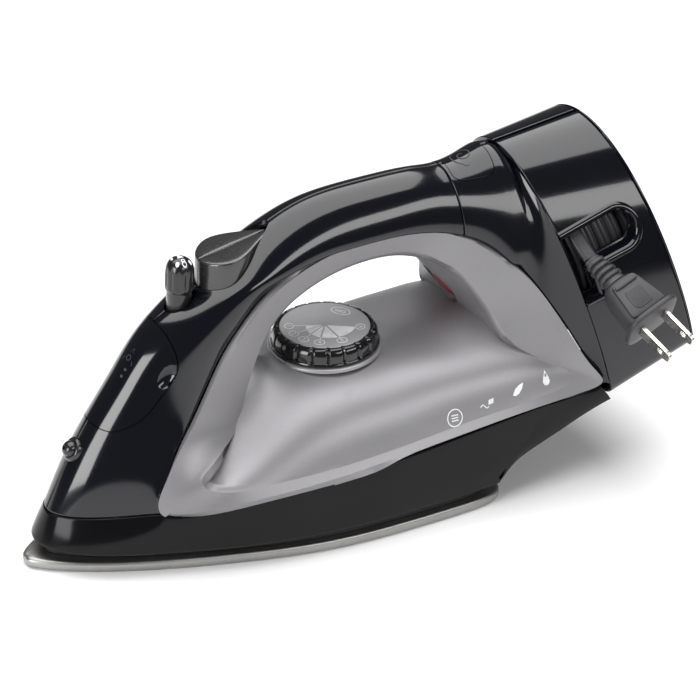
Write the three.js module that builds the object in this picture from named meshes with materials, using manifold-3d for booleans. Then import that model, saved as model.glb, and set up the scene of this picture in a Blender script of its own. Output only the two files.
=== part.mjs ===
// A steam iron with a retractable cord, in millimetres, +Z up.
// The sole lies on z = 0, the nose points to -X and the wide tail, which holds the cord reel, to +X.
// The skin is one smooth surface that closes round the finger opening; its shells are patches of it.
import * as THREE from "three";
import { mergeVertices } from "three/addons/utils/BufferGeometryUtils.js";
import Module from "manifold-3d";

const wasm = await Module();
wasm.setup();

// ---- driving dimensions ----
const wall = 2.2; // thickness of the moulded shells
const gap = 0.3; // clearance between neighbouring pieces
const centreX = 146.45; // moves the part's origin from the nose tip to under its middle
const soleThickness = 5;
const skirtFoot = 11; // height of the skirt's lower edge above the table
const seamRise = 0.1; // the skirt's top seam climbs this much per mm towards the tail
const seamStart = 23;
const drumTilt = THREE.MathUtils.degToRad(20); // the reel's drum points up and back
const drumTop = [213, 147]; // top of the drum's front rim, x and z
const drumFront = { width: 51, shoulder: 103, height: 117, drop: 0 };
const drumBack = { width: 56, shoulder: 91, height: 105, drop: 7.8 };
const drumLength = 41.9;
const dialRadius = 22.5;
const dialTilt = THREE.MathUtils.degToRad(3.5);
const dialSeat = [136, 67.6]; // x and z of the dial's seat on the deck
const knobX = 67.5;
const reelCentre = 60; // down the drum from its top
const reelStart = 4; // along the drum from its front rim
const reelWidth = 29;
const reelRadius = 40.5;
const windingInner = 28;
const windingOuter = 37.2;
const cordWidth = 6.4;
const cordThickness = 3.2;

// ---- finishes ----
const finish = (color, roughness, metalness = 0) =>
  new THREE.MeshStandardMaterial({ color, roughness, metalness });
const black = finish(0x101114, 0.18);
const grey = finish(0x8a888b, 0.38, 0.35);
const darkGrey = finish(0x45444a, 0.4);
const dialGrey = finish(0xa4a2a5, 0.45);
const metal = finish(0x9a9894, 0.35, 0.9);
const steel = finish(0xb8b6b0, 0.3, 1);
const brass = finish(0xb59a58, 0.35, 1);
const rubber = finish(0x2c2c30, 0.7);
const redLens = finish(0x4a0a18, 0.2);
const smoke = finish(0x6d7076, 0.25);
const board = finish(0x2e5a3a, 0.6);
const phenolic = finish(0x17171a, 0.8);

const part = new THREE.Group();
part.position.x = -centreX;

function addMesh(name, geometry, material) {
  const mesh = new THREE.Mesh(geometry, material);
  mesh.name = name;
  part.add(mesh);
  return mesh;
}

// ---- solids: joins and cuts ----
function solid(geometry) {
  const bare = geometry.clone();
  bare.deleteAttribute("normal");
  bare.deleteAttribute("uv");
  const merged = mergeVertices(bare, 1e-4);
  const vertProperties = merged.attributes.position.array;
  const triVerts = new Uint32Array(merged.index.array);
  return new wasm.Manifold(new wasm.Mesh({ numProp: 3, vertProperties, triVerts }));
}

function toGeometry(manifold) {
  const mesh = manifold.getMesh();
  const geometry = new THREE.BufferGeometry();
  geometry.setAttribute("position", new THREE.BufferAttribute(mesh.vertProperties, 3));
  geometry.setIndex(new THREE.BufferAttribute(mesh.triVerts, 1));
  return geometry;
}

const cut = (body, ...tools) =>
  toGeometry(tools.reduce((left, tool) => left.subtract(solid(tool)), solid(body)));
const join = (body, ...others) =>
  toGeometry(others.reduce((whole, other) => whole.add(solid(other)), solid(body)));
const common = (body, tool) => toGeometry(solid(body).intersect(solid(tool)));

// ---- smooth closed and open splines through given points ----
// A uniform cubic B-spline whose controls are pushed outwards once, so that it passes very near its points.
function smoothRail(points, closed) {
  const count = points.length;
  const at = (list, i) => list[closed ? (i + count) % count : Math.min(Math.max(i, 0), count - 1)];
  const controls = points.map((p, i) => {
    if (!closed && (i === 0 || i === count - 1)) return p;
    return p.map((value, k) => value - (at(points, i - 1)[k] - 2 * value + at(points, i + 1)[k]) / 6);
  });
  if (!closed) {
    // the end controls are mirrored so that the spline starts and stops at its end points
    const reach = (a, b) => a.map((value, k) => 2 * value - b[k]);
    controls.unshift(reach(controls[0], controls[1]));
    controls.push(reach(controls[count], controls[count - 1]));
  }
  const control = (i) => (closed ? controls[((i % count) + count) % count] : controls[i]);
  return (u) => {
    const span = closed ? Math.floor(u) : Math.min(Math.max(Math.floor(u), 0), count - 2);
    const t = u - span;
    const weights = [
      (1 - t) ** 3 / 6,
      (3 * t ** 3 - 6 * t ** 2 + 4) / 6,
      (-3 * t ** 3 + 3 * t ** 2 + 3 * t + 1) / 6,
      t ** 3 / 6,
    ];
    const first = closed ? span - 1 : span;
    return points[0].map((_, k) =>
      weights.reduce((sum, weight, j) => sum + weight * control(first + j)[k], 0),
    );
  };
}

// ---- the drum that holds the cord reel ----
const drumAlong = [Math.cos(drumTilt), Math.sin(drumTilt)]; // x and z of its axis
const drumDown = [Math.sin(drumTilt), -Math.cos(drumTilt)];

// half-width of a drum section, down from the top of that section
function drumHalfWidth(rim, down) {
  if (down <= rim.shoulder) {
    return rim.width * Math.sqrt(Math.max(0, 1 - (1 - down / rim.shoulder) ** 1.7));
  }
  const corner = Math.min(1, (down - rim.shoulder) / (rim.height - rim.shoulder));
  return rim.width * Math.max(0, 1 - corner ** 4) ** 0.25;
}

// a point of the drum from its place along, across and down
function drumPoint(along, across, down) {
  return [
    drumTop[0] + drumAlong[0] * along + drumDown[0] * down,
    across,
    drumTop[1] + drumAlong[1] * along + drumDown[1] * down,
  ];
}

const onFrontRim = (down) => drumPoint(0, drumHalfWidth(drumFront, down), down);
const seamHeight = (x) => seamStart + seamRise * x;
const onSeam = (x, y) => [x, y, seamHeight(x)];

// ---- the skin round the finger opening ----
// Each station crosses the skin from the edge of the opening (inner) to the outside (outer):
// inner and outer are [x, z] on the middle plane, the rest [x, y, z] on the +Y side.
// floor bends the inner face, crease ends it, seam is where the grey meets the black,
// side bulges the black.
const stations = [
  { inner: [99, 72.5], floor: [86, 16, 54], crease: [62, 33.6, 39.5],
    seam: onSeam(45, 30), side: [24.5, 17.5, 25.5], outer: [9.5, 24] },
  { inner: [97.3, 74.5], floor: [88.5, 13, 59], crease: [65, 31.5, 43],
    seam: [49, 28, 42], side: [30, 17.5, 39.5], outer: [16, 38.5] },
  { inner: [96, 77.5], floor: [90.5, 9.5, 66], crease: [74, 26, 47.3],
    seam: [55, 24.3, 52.5], side: [36, 16.6, 51.5], outer: [22.5, 51] },
  { inner: [95.4, 81], floor: [93, 8, 75], crease: [84, 17.6, 50.5],
    seam: [62, 20.8, 60], side: [42.5, 15.5, 63], outer: [30, 63] },
  { inner: [96, 84.5], floor: [94.5, 7.3, 81], crease: [88, 14, 60],
    seam: [70, 17.6, 71], side: [49.5, 14.2, 76], outer: [38.5, 75.5] },
  { inner: [97.7, 88], floor: [96.7, 7.2, 86], crease: [92.6, 12.8, 73],
    seam: [78, 16, 85], side: [58, 14, 89], outer: [47.5, 89] },
  { inner: [100.7, 92], floor: [100, 7.2, 91], crease: [97, 12.4, 85],
    seam: [86, 15.4, 95.5], side: [71.5, 14.6, 101], outer: [60, 100.5] },
  { inner: [105.5, 96.8], floor: [105, 7.2, 96.2], crease: [103, 12, 94.5],
    seam: [95, 15, 105.5], side: [85, 15, 111.5], outer: [77.5, 110] },
  { inner: [113, 102], floor: [112.7, 7.4, 101.8], crease: [111.3, 12, 102.3],
    seam: [107, 14.6, 113.3], side: [101, 15, 120], outer: [96, 125.3] },
  { inner: [124, 106.8], floor: [124, 7.5, 107], crease: [124, 12, 108.7],
    seam: [122, 14.3, 119.3], side: [119, 15, 127], outer: [116, 135.7] },
  { inner: [136, 110], floor: [136, 7.5, 110.2], crease: [136, 12, 112.2],
    seam: [135, 14.2, 121.8], side: [134, 15, 129], outer: [133, 139.6] },
  { inner: [149, 111.3], floor: [149, 7.5, 111.6], crease: [149, 12, 113.6],
    seam: [149, 14.2, 123], side: [149, 15, 130], outer: [150, 141] },
  { inner: [161, 110.8], floor: [161, 7.5, 111], crease: [161, 12, 113],
    seam: [163, 14.1, 122.7], side: [164.5, 15, 130.5], outer: [166.5, 141.8] },
  { inner: [171.5, 107.7], floor: [171.5, 7.6, 108], crease: [172, 12.2, 110],
    seam: [176.5, 14.2, 120.8], side: [177, 15.2, 129.5], outer: [177, 141.7] },
  { inner: [179.5, 102.5], floor: [180.5, 8, 103.8], crease: [180.5, 13.5, 104.6],
    seam: [188.5, 15.3, 116.6], side: [187.5, 16, 128], outer: [186, 141.3] },
  { inner: [186, 95.3], floor: [187.2, 10, 96.7], crease: [190.5, 17.3, 98.7],
    seam: [199, 20.5, 111.6], side: [200, 19.5, 127.5], outer: [199.5, 143.2] },
  { inner: [192.3, 87.8], floor: [193.6, 12, 89.2], crease: [196.5, 22, 89.4],
    seam: [208, 27.5, 104.7], side: [211, 25, 124], outer: [213, 147] },
  { inner: [198.3, 80.8], floor: [199.2, 14.5, 82.2], crease: [201.8, 27, 80],
    seam: [216.5, 33.7, 95], side: [218.6, 31, 111], rim: 18 },
  { inner: [202, 76.4], floor: [202.5, 17.5, 76], crease: [206, 33, 70.3],
    seam: [224.5, 39, 83], side: [227.3, 40, 92.5], rim: 46 },
  { inner: [200.5, 74.6], floor: [204, 21.5, 72.2], crease: [214.5, 38.3, 64.4],
    seam: [232, 43.6, 70.5], side: [234.8, 45.5, 75.4], rim: 70 },
  { inner: [193.5, 73], floor: [200, 25.5, 69], crease: [223.5, 43, 59],
    seam: [239.5, 46.8, 58], side: [241.8, 48.6, 60.2], rim: 90 },
  { inner: [184, 71.2], floor: [193, 28.5, 67.6], crease: [232.5, 46.5, 53],
    seam: onSeam(246.5, 49), side: [247.8, 50, 48], rim: 106 },
  { inner: [172, 69.4], floor: [181, 29, 66.4], crease: [217.5, 47, 48.5], seam: onSeam(219, 48.8) },
  { inner: [158, 68.9], floor: [162, 28.5, 65.6], crease: [184.5, 46.2, 45.3], seam: onSeam(185, 48.7) },
  { inner: [144, 68], floor: [145.5, 28, 63.8], crease: [152.5, 46, 41.7], seam: onSeam(152.5, 48.5) },
  { inner: [130, 67.1], floor: [128.5, 27, 62.8], crease: [121, 44.9, 38.6], seam: onSeam(121, 47.5) },
  { inner: [117, 66.3], floor: [112, 24, 60.5], crease: [93, 41.4, 36.4], seam: onSeam(93, 44.2) },
  { inner: [106.5, 67.4], floor: [98, 20, 56.5], crease: [73, 37.2, 35.3], seam: onSeam(71, 39.4) },
];
const lastStation = stations.length;
const handleEnd = 14; // the station of the joint between handle and collar
const collarEnd = 21; // the station where the collar runs out at the skirt

const plane = ([x, z]) => [x, 0, z];
const rails = {
  inner: smoothRail(stations.map((s) => plane(s.inner)), true),
  floor: smoothRail(stations.map((s) => s.floor), true),
  crease: smoothRail(stations.map((s) => s.crease), true),
  seam: smoothRail(stations.map((s) => s.seam), true),
};
const upper = stations.slice(0, collarEnd + 1);
const outerPoint = (s) => (s.rim === undefined ? plane(s.outer) : onFrontRim(s.rim));
rails.side = smoothRail(upper.map((s) => s.side), false);
rails.outer = smoothRail(upper.map(outerPoint), false);

// From a start on the middle plane through one point halfway to an end: even in x and z, odd in y.
function symmetricSpan(start, halfway, end, t) {
  return start.map((value, k) => {
    const near = halfway[k] - value;
    const far = end[k] - value;
    if (k === 1) {
      const rise = (8 * near - far) / 3;
      return value + rise * t + (far - rise) * t ** 3;
    }
    const bend = (16 * near - far) / 3;
    return value + bend * t ** 2 + (far - bend) * t ** 4;
  });
}

const openSpan = (start, halfway, end, t) =>
  start.map((value, k) => {
    const rise = 4 * (halfway[k] - value) - (end[k] - value);
    return value + rise * t + (end[k] - value - rise) * t ** 2;
  });

const mix = (a, b, t) => a.map((value, k) => value + (b[k] - value) * t);

// The skin: u runs round the opening, one per station; v runs 0 inner, 1 crease, 2 seam, 4 outer.
function skin(u, v) {
  if (v <= 1) return symmetricSpan(rails.inner(u), rails.floor(u), rails.crease(u), v);
  if (v <= 2) return mix(rails.crease(u), rails.seam(u), v - 1);
  const outer = rails.outer(u);
  const t = (4 - v) / 2;
  const onRidge = [outer[0], Math.max(outer[1], 0), outer[2]];
  const round = symmetricSpan(onRidge, rails.side(u), rails.seam(u), t);
  const flat = openSpan(onRidge, rails.side(u), rails.seam(u), t);
  return mix(round, flat, Math.min(1, onRidge[1] / 12));
}

// outward normal of a surface function, by differences
function normalOf(surface, u, v) {
  const step = 0.02;
  const along = new THREE.Vector3(...surface(u + step, v)).sub(new THREE.Vector3(...surface(u - step, v)));
  const across = new THREE.Vector3(...surface(u, v + step)).sub(new THREE.Vector3(...surface(u, v - step)));
  return along.cross(across).normalize();
}

// A shell of even thickness under a surface: surface(u, v) gives points, inward(u, v) the unit way in.
function shellPatch(surface, inward, us, vs, closed = false, thickness = wall) {
  const columns = us.length;
  const rows = vs.length;
  const points = [];
  for (const u of us) for (const v of vs) points.push(...surface(u, v));
  for (const u of us) {
    for (const v of vs) {
      const p = surface(u, v);
      const n = inward(u, v);
      points.push(p[0] + n[0] * thickness, p[1] + n[1] * thickness, p[2] + n[2] * thickness);
    }
  }
  const outer = (i, j) => (i % columns) * rows + j;
  const inner = (i, j) => columns * rows + outer(i, j);
  const faces = [];
  const quad = (a, b, c, d) => faces.push(a, b, c, a, c, d);
  const spans = closed ? columns : columns - 1;
  for (let i = 0; i < spans; i++) {
    for (let j = 0; j < rows - 1; j++) {
      quad(outer(i, j), outer(i + 1, j), outer(i + 1, j + 1), outer(i, j + 1));
      quad(inner(i, j), inner(i, j + 1), inner(i + 1, j + 1), inner(i + 1, j));
    }
    quad(outer(i, 0), inner(i, 0), inner(i + 1, 0), outer(i + 1, 0));
    quad(outer(i, rows - 1), outer(i + 1, rows - 1), inner(i + 1, rows - 1), inner(i, rows - 1));
  }
  if (!closed) {
    const end = columns - 1;
    for (let j = 0; j < rows - 1; j++) {
      quad(outer(0, j), outer(0, j + 1), inner(0, j + 1), inner(0, j));
      quad(outer(end, j), inner(end, j), inner(end, j + 1), outer(end, j + 1));
    }
  }
  const geometry = new THREE.BufferGeometry();
  geometry.setAttribute("position", new THREE.Float32BufferAttribute(points, 3));
  geometry.setIndex(faces);
  return solid(geometry).volume() < 0 ? flipped(geometry) : geometry;
}

function flipped(geometry) {
  const index = geometry.index.array;
  for (let i = 0; i < index.length; i += 3) {
    const first = index[i];
    index[i] = index[i + 1];
    index[i + 1] = first;
  }
  return geometry;
}

const mirrorY = (geometry) => flipped(geometry.clone().scale(1, -1, 1));
const steps = (from, to, count) => Array.from({ length: count + 1 }, (_,
  i) => from + ((to - from) * i) / count);

// the unit way in; beside the seam it is the seam's own, so that the two shells meet in a mitre
const inward = (u, v) => normalOf(skin, u, Math.abs(v - 2) < 0.1 ? 2 : v).toArray();

// a shell round the nose and handle, split on the middle plane; across is the skin's v
const seamEdge = 2.03;
const ridgeEdge = 3.988;
const halfShell = (from, to, count) =>
  shellPatch(skin, inward, steps(from, to, count), [seamEdge, 2.35, 2.8, 3.25, 3.65, ridgeEdge]);

// a solid prism of an outline drawn in x and y, from z = bottom to top
function prism(outline, bottom, top) {
  const shape = new THREE.Shape(outline.map(([x, y]) => new THREE.Vector2(x, y)));
  return new THREE.ExtrudeGeometry(shape, { depth: top - bottom,
    bevelEnabled: false }).translate(0, 0, bottom);
}

// a prism of a side-view outline in x and z, from y = -half to half
function sidePrism(outline, half, other = -half) {
  const shape = new THREE.Shape(outline.map(([x, z]) => new THREE.Vector2(x, z)));
  return new THREE.ExtrudeGeometry(shape, { depth: half - other, bevelEnabled: false })
    .rotateX(Math.PI / 2)
    .translate(0, half, 0);
}

const box = (x0, x1, y0, y1, z0, z1) =>
  new THREE.BoxGeometry(x1 - x0, y1 - y0, z1 - z0).translate((x0 + x1) / 2, (y0 + y1) / 2, (z0 + z1) / 2);

// a round bar along +Z
const bar = (x, y, z0, z1, radius, sides = 16, topRadius = radius) =>
  new THREE.CylinderGeometry(topRadius, radius, z1 - z0, sides)
    .rotateX(Math.PI / 2)
    .translate(x, y, (z0 + z1) / 2);

// a turned solid about Z from a closed profile of [radius, z]
const turned = (profile, sides = 24) =>
  new THREE.LatheGeometry(
    [...profile, profile[0]].map(([radius, z]) => new THREE.Vector2(radius, z)),
    sides,
  ).rotateX(Math.PI / 2);

// a round or flat bar swept along a curve
function swept(points, section, count, closed = false) {
  const curve = new THREE.CatmullRomCurve3(points.map((p) => new THREE.Vector3(...p)), closed);
  return new THREE.ExtrudeGeometry(section, { steps: count, bevelEnabled: false, extrudePath: curve });
}

const roundSection = (radius, sides) =>
  new THREE.Shape(
    Array.from({ length: sides }, (_, i) => {
      const angle = (2 * Math.PI * i) / sides;
      return new THREE.Vector2(radius * Math.cos(angle), radius * Math.sin(angle));
    }),
  );

// ---- places on the sloping features ----
// moves a piece drawn along the drum's axis (x), across (y) and up from its top (z) to its place
const drumFrame = new THREE.Matrix4()
  .makeRotationY(-drumTilt)
  .setPosition(drumTop[0], 0, drumTop[1]);
const inDrum = (geometry) => geometry.applyMatrix4(drumFrame);

// moves a piece drawn about +Z from the dial's seat to its place
const dialFrame = new THREE.Matrix4().makeRotationY(-dialTilt).setPosition(dialSeat[0], 0, dialSeat[1]);
const inDial = (geometry) => geometry.applyMatrix4(dialFrame);

// moves a piece drawn in x along the nose ridge and z out of it to its place
function ridgeFrame(centre, slope) {
  return new THREE.Matrix4().makeRotationY(-slope).setPosition(centre[0], 0, centre[1]);
}
const nozzleFrame = ridgeFrame([21.3, 48.5], THREE.MathUtils.degToRad(63));
const lensFrame = ridgeFrame([194, 87], THREE.MathUtils.degToRad(180 - 51.3));

// a smooth outline in x and y through given points, closed, as a list of [x, y]
function smoothOutline(points, count) {
  const rail = smoothRail(points, true);
  return steps(0, points.length, count).slice(0, -1).map((u) => rail(u));
}

// ---- the plane of the skirt's top seam and the plane of the drum's front rim ----
const underSeam = (lift) =>
  sidePrism([[-30, -20], [330, -20], [330, seamHeight(330) + lift], [-30, seamHeight(-30) + lift]], 90);
const overSeam = (lift) =>
  sidePrism([[-30, seamHeight(-30) + lift], [330, seamHeight(330) + lift], [330, 260], [-30, 260]], 90);
const behindRim = () => inDrum(box(-0.1, 140, -90, 90, -170, 60));

// ---- sole, heater and steam chamber ----
const soleMiddle = 118;
const soleHalf = [
  [0, 0], [1, 4.2], [12, 12.5], [28, 21], [46, 28.4], [64, 34.6], [81, 39.6],
  [97, 43.8], [118, 47.6], [142, 49.2], [168, 49.2], [189, 48.6], [200, 45], [204, 37],
];
const shrink = (scale) => ([x, y]) => [soleMiddle + (x - soleMiddle) * scale, y * scale];

// the sole's outline, shrunk about its middle
function soleOutline(scale, count = 34) {
  const half = smoothRail(soleHalf, false);
  const edge = steps(0, soleHalf.length - 1, count).map((u) => half(u)).map(shrink(scale));
  return [...edge, ...edge.slice(1).reverse().map(([x, y]) => [x, -y])];
}

const steamHoles = [[30, 0]];
for (let i = 0; i < 8; i++) {
  const x = 44 + i * 14;
  const y = 7 + 20 * Math.sin((Math.PI / 2) * Math.min(1, i / 5));
  steamHoles.push([x, y], [x, -y]);
}
const sole = join(
  prism(soleOutline(0.985), 0, 1.3),
  prism(soleOutline(1), 1.2, soleThickness - 0.8),
  prism(soleOutline(0.99), soleThickness - 0.9, soleThickness),
);
addMesh("soleplate", cut(sole, ...steamHoles.map(([x, y]) => bar(x, y, -1, 6, 1.5, 6))), metal);

const chamberRoof = 9.5;
const chamber = cut(
  prism(soleOutline(0.7, 20), soleThickness + gap, chamberRoof),
  prism(soleOutline(0.67, 20), soleThickness, chamberRoof - 1.4),
  bar(knobX, 0, 5, 12, 2.2, 10),
);
addMesh("steam_chamber_cover", chamber, metal);

// the heater follows the sole's edge and turns up at the heel
const heaterEnd = 187;
const heaterRun = soleHalf.slice(0, 12).map(shrink(0.81)).map(([x, y]) => [x, y, 8.7]);
const heaterSide = [[heaterEnd, 30, 24], [heaterEnd, 30, 16], [heaterEnd - 1.5, 33, 9.5],
  ...heaterRun.slice(2).reverse()];
const heaterNose = [[24.2, 0, 8.7]];
const otherWay = heaterSide.slice().reverse().map(([x, y, z]) => [x, -y, z]);
addMesh("heating_element", swept([...heaterSide, ...heaterNose, ...otherWay], roundSection(3, 8),
  40), steel);

// ---- heat shield: a tray upside down between the sole and the shells ----
const shieldTop = 14.5;
const shaftFootX = dialSeat[0] + Math.sin(dialTilt) * 52;
const shield = cut(
  prism(soleOutline(0.925, 32), soleThickness + 0.4, shieldTop),
  prism(soleOutline(0.885, 32), soleThickness, shieldTop - 1.8),
  bar(knobX, 0, 5, 20, 3, 10),
  bar(shaftFootX, 0, 5, 20, 5, 12),
  bar(heaterEnd - 0.5, 31, 5, 20, 6, 12),
  bar(heaterEnd - 0.5, -31, 5, 20, 6, 12),
);
addMesh("heat_shield", shield, phenolic);

// ---- lower skirt: a band from the seam down to its foot, running up the tail ----
const skirtReach = 9;
const footHalf = [
  [2.6, 0], [19, 20.5], [44, 31.6], [70, 40.4], [92, 46], [120.5, 50], [152, 50.8], [183, 50.2],
  [196.5, 49.2],
];
const footRail = smoothRail([...footHalf.slice(1).reverse().map(([x, y]) => [x, -y]), ...footHalf], false);
const tailFoot = [252.6, 50.2, 39.2];

function skirtFootAt(s) {
  const along = Math.abs(s);
  if (along <= 8) {
    const [x, y] = footRail(8 + along);
    return [x, y, skirtFoot];
  }
  const [x, y] = footRail(16);
  const up = along - 8;
  const point = mix([x, y, skirtFoot], tailFoot, up);
  point[2] += 14 * up * (1 - up) + 60 * up * (1 - up) ** 6; // the tail's underside is hollow
  return point;
}

function skirtTopAt(s) {
  const along = Math.abs(s);
  return along <= 2 ? skin(0, 4 - along) : rails.seam(lastStation - (along - 2));
}

function skirtSkin(s, v) {
  const top = skirtTopAt(s);
  const foot = skirtFootAt(s);
  const point = mix(top, foot, v);
  point[1] += 4 * v * (1 - v) * 0.9 * Math.min(1, Math.abs(s));
  if (s < 0) point[1] = -point[1];
  return point;
}

const skirtNormal = (s, v) => {
  const n = normalOf(skirtSkin, s, v).toArray();
  return n;
};
const skirtSteps = steps(-skirtReach, skirtReach, 60);
const skirtIn = (s, v) => skirtNormal(s, v).map((value) => -value);
const skirt = shellPatch(skirtSkin, skirtIn, skirtSteps, [0, 0.35, 0.7, 1]);
addMesh("lower_skirt", cut(skirt, overSeam(-gap), behindRim()), black);

const tailLine = steps(8.06, 9, 6).map((s) => skirtFootAt(s));
const tailPanel = sidePrism(
  [...tailLine.map(([x, , z]) => [x, z + 0.4]), ...tailLine.reverse().map(([x, , z]) => [x - 1, z + 2.6])],
  45.5,
);
addMesh("tail_panel", cut(tailPanel, behindRim()), black);

// ---- grey saddle: deck, pillars and handle underside in one closed loop ----
function bothSides(surface) {
  return (u, v) => {
    const p = surface(u, Math.abs(v));
    return v < 0 ? [p[0], -p[1], p[2]] : p;
  };
}
const fullSkin = bothSides(skin);
const fullInward = bothSides((u, v) => inward(u, v));
const greyRows = [-1.96, -1, -0.72, -0.4, 0, 0.4, 0.72, 1, 1.96];
const saddle = shellPatch(fullSkin, fullInward, steps(0, lastStation, 56).slice(0, -1), greyRows, true);

const leaf = (grow) =>
  smoothOutline(
    [
      [13.5 + grow, 0], [7, 5.2 + grow], [-2, 7.6 + grow], [-9.5, 4.6 + grow],
      [-13 - grow, 0], [-9.5, -4.6 - grow], [-2, -7.6 - grow], [7, -5.2 - grow],
    ],
    20,
  );
const lensHole = prism(leaf(gap), -7, 3.5).applyMatrix4(lensFrame);
addMesh("saddle_shell", cut(saddle, underSeam(0), lensHole, inDial(bar(0, 0, -20, 12, 4.2, 12))), grey);
const lensPatch = shellPatch(fullSkin, fullInward, steps(14.2, 18.4, 10), [-0.9, -0.45, 0, 0.45, 0.9]);
addMesh("indicator_lens", common(lensPatch, prism(leaf(0), -7, 3.5).applyMatrix4(lensFrame)), redLens);
const lampPlace = new THREE.Matrix4().makeTranslation(202, 0, 93.5);
addMesh("neon_lamp", bar(0, 0, -6, 6, 2.6, 10).rotateX(Math.PI / 2).applyMatrix4(lampPlace), redLens);

// ---- nose and handle shells, split on the middle plane ----
// the fill door in side view: its lower edge near the skirt, its back edge down the side of the nose
const doorSide = [
  [27, 61], [35.5, 60.6], [44, 64.6], [50.2, 71.5], [56.6, 79], [59, 84.5], [58, 92], [54, 101],
  [40, 112], [8, 82],
];
const doorMiddle = [42, 82];
function doorTool(grow) {
  const outline = smoothOutline(doorSide, 40).map(([x, z]) => {
    const reach = Math.hypot(x - doorMiddle[0], z - doorMiddle[1]);
    const scale = 1 + grow / reach;
    return [doorMiddle[0] + (x - doorMiddle[0]) * scale, doorMiddle[1] + (z - doorMiddle[1]) * scale];
  });
  return sidePrism(outline, 60);
}

// plan of the two push buttons together: round at the nose end, pointed at the handle end
const dropOutline = (grow) => {
  const right = [[75.5 - grow, 0], [76.8 - grow * 0.8, 5.5 + grow * 0.5], [81, 10.3 + grow * 0.8],
    [86.5, 12 + grow],
    [93, 9.8 + grow], [100, 5 + grow * 0.9], [106.5 + grow * 1.5, 0]];
  const left = right.slice(1, -1).reverse().map(([x, y]) => [x, -y]);
  return smoothOutline([...right, ...left], 30);
};
const dropTool = prism(dropOutline(0.45), 101, 160);
const knobHole = bar(knobX, 0, 88, 140, 6.1, 16);
const nozzleHole = bar(0, 0, -9, 12, 5.3, 14).applyMatrix4(nozzleFrame);

const handleRight = cut(
  halfShell(0, handleEnd - 0.015, 28),
  underSeam(0), doorTool(0.35), dropTool, knobHole, nozzleHole,
);
addMesh("handle_shell_right", handleRight, black);
addMesh("handle_shell_left", mirrorY(handleRight), black);

// ---- collar between handle and drum ----
const rewindFrame = ridgeFrame([199, 143.2], THREE.MathUtils.degToRad(12));
const rewindOutline = (grow) => {
  const right = [
    [-10.6 - grow, 0], [-10.9 - grow, 5], [-10.8 - grow, 9.4 + grow], [-3, 11.4 + grow],
    [5 + grow, 13.2 + grow], [7.4 + grow, 7], [8.2 + grow, 0],
  ];
  return smoothOutline([...right, ...right.slice(1, -1).reverse().map(([x, y]) => [x, -y])], 32);
};
const rewindTool = prism(rewindOutline(gap), -18, 12).applyMatrix4(rewindFrame);
const collarRight = cut(halfShell(handleEnd + 0.015, collarEnd - 0.02, 14), underSeam(0),
  behindRim(), rewindTool);
addMesh("collar_right", collarRight, black);
addMesh("collar_left", mirrorY(collarRight), black);

// ---- drum: two half shells, a back cover and what is in them ----
// around runs 0 at the top to 1 at the bottom middle of the +Y half
function drumSkin(along, around) {
  const rimPoint = (rim) => {
    if (around <= 0.7) {
      const down = rim.shoulder * (around / 0.7) ** 2;
      return [Math.sign(around) * drumHalfWidth(rim, down), down + rim.drop];
    }
    const turn = ((around - 0.7) / 0.3) * (Math.PI / 2);
    const depth = Math.sqrt(Math.sin(turn));
    const across = rim.width * Math.sign(Math.cos(turn)) * Math.sqrt(Math.abs(Math.cos(turn)));
    return [across, rim.shoulder + depth * (rim.height - rim.shoulder) + rim.drop];
  };
  const [across, down] = mix(rimPoint(drumFront), rimPoint(drumBack), along);
  return drumPoint(along * drumLength, across, down);
}
const drumIn = (a, f) => normalOf(drumSkin, a, f).toArray().map((value) => -value);
const aroundRows = [0.012, 0.07, 0.14, 0.21, 0.28, 0.36, 0.44, 0.52, 0.61, 0.7, 0.76, 0.81, 0.86,
  0.92, 0.985];
const drumHalf = shellPatch(drumSkin, drumIn, [0.008, 0.2, 0.4, 0.6, 0.8, 1], aroundRows);
addMesh("rear_housing_right", drumHalf, black);

// the slot on the -Y side where the cord comes out: straight from the front rim, round at the far end
const slotTop = 33.2;
const slotBottom = 51.4;
function slotTool(grow) {
  const radius = (slotBottom - slotTop) / 2 + grow;
  const middle = (slotTop + slotBottom) / 2;
  const end = 26.4;
  const arc = steps(-Math.PI / 2, Math.PI / 2, 8).map((a) => [
    end + radius * Math.cos(a),
    -middle + radius * Math.sin(a),
  ]);
  const outline = [[9, -middle - radius], ...arc, [-5, -middle + radius], [-5, -64 - grow], [9,
    -64 - grow]];
  return inDrum(sidePrism(outline, -18, -70));
}
addMesh("rear_housing_left", cut(mirrorY(drumHalf), slotTool(0)), black);

// the liner of the slot, a collar set into it
const linerBlank = common(
  shellPatch(bothWays(drumSkin), bothWays(drumIn), [0.05, 0.3, 0.6, 0.92], [0.3, 0.38, 0.46, 0.54,
    0.62], false, 3),
  slotTool(-0.3),
);
function bothWays(surface) {
  return (a, f) => {
    const p = surface(a, f);
    return [p[0], -p[1], p[2]];
  };
}
addMesh("cord_slot_bezel", cut(linerBlank, slotTool(-1.7), inDrum(box(-6, 14.5, -70, 0, -70, -20))), black);

const coverOutline = (inset) => {
  const right = aroundRows.map((f) => {
    const [x, y, z] = drumSkin(1, f);
    const down = (x - drumTop[0]) * drumDown[0] + (z - drumTop[1]) * drumDown[1];
    return [y, -down];
  });
  const middle = -(drumBack.drop + drumBack.height / 2);
  const drawn = right.map(([y, z]) => [y * (1 - inset / 54), middle + (z - middle) * (1 - inset / 52)]);
  return [...drawn, ...drawn.slice().reverse().map(([y, z]) => [-y, z])];
};
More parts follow.
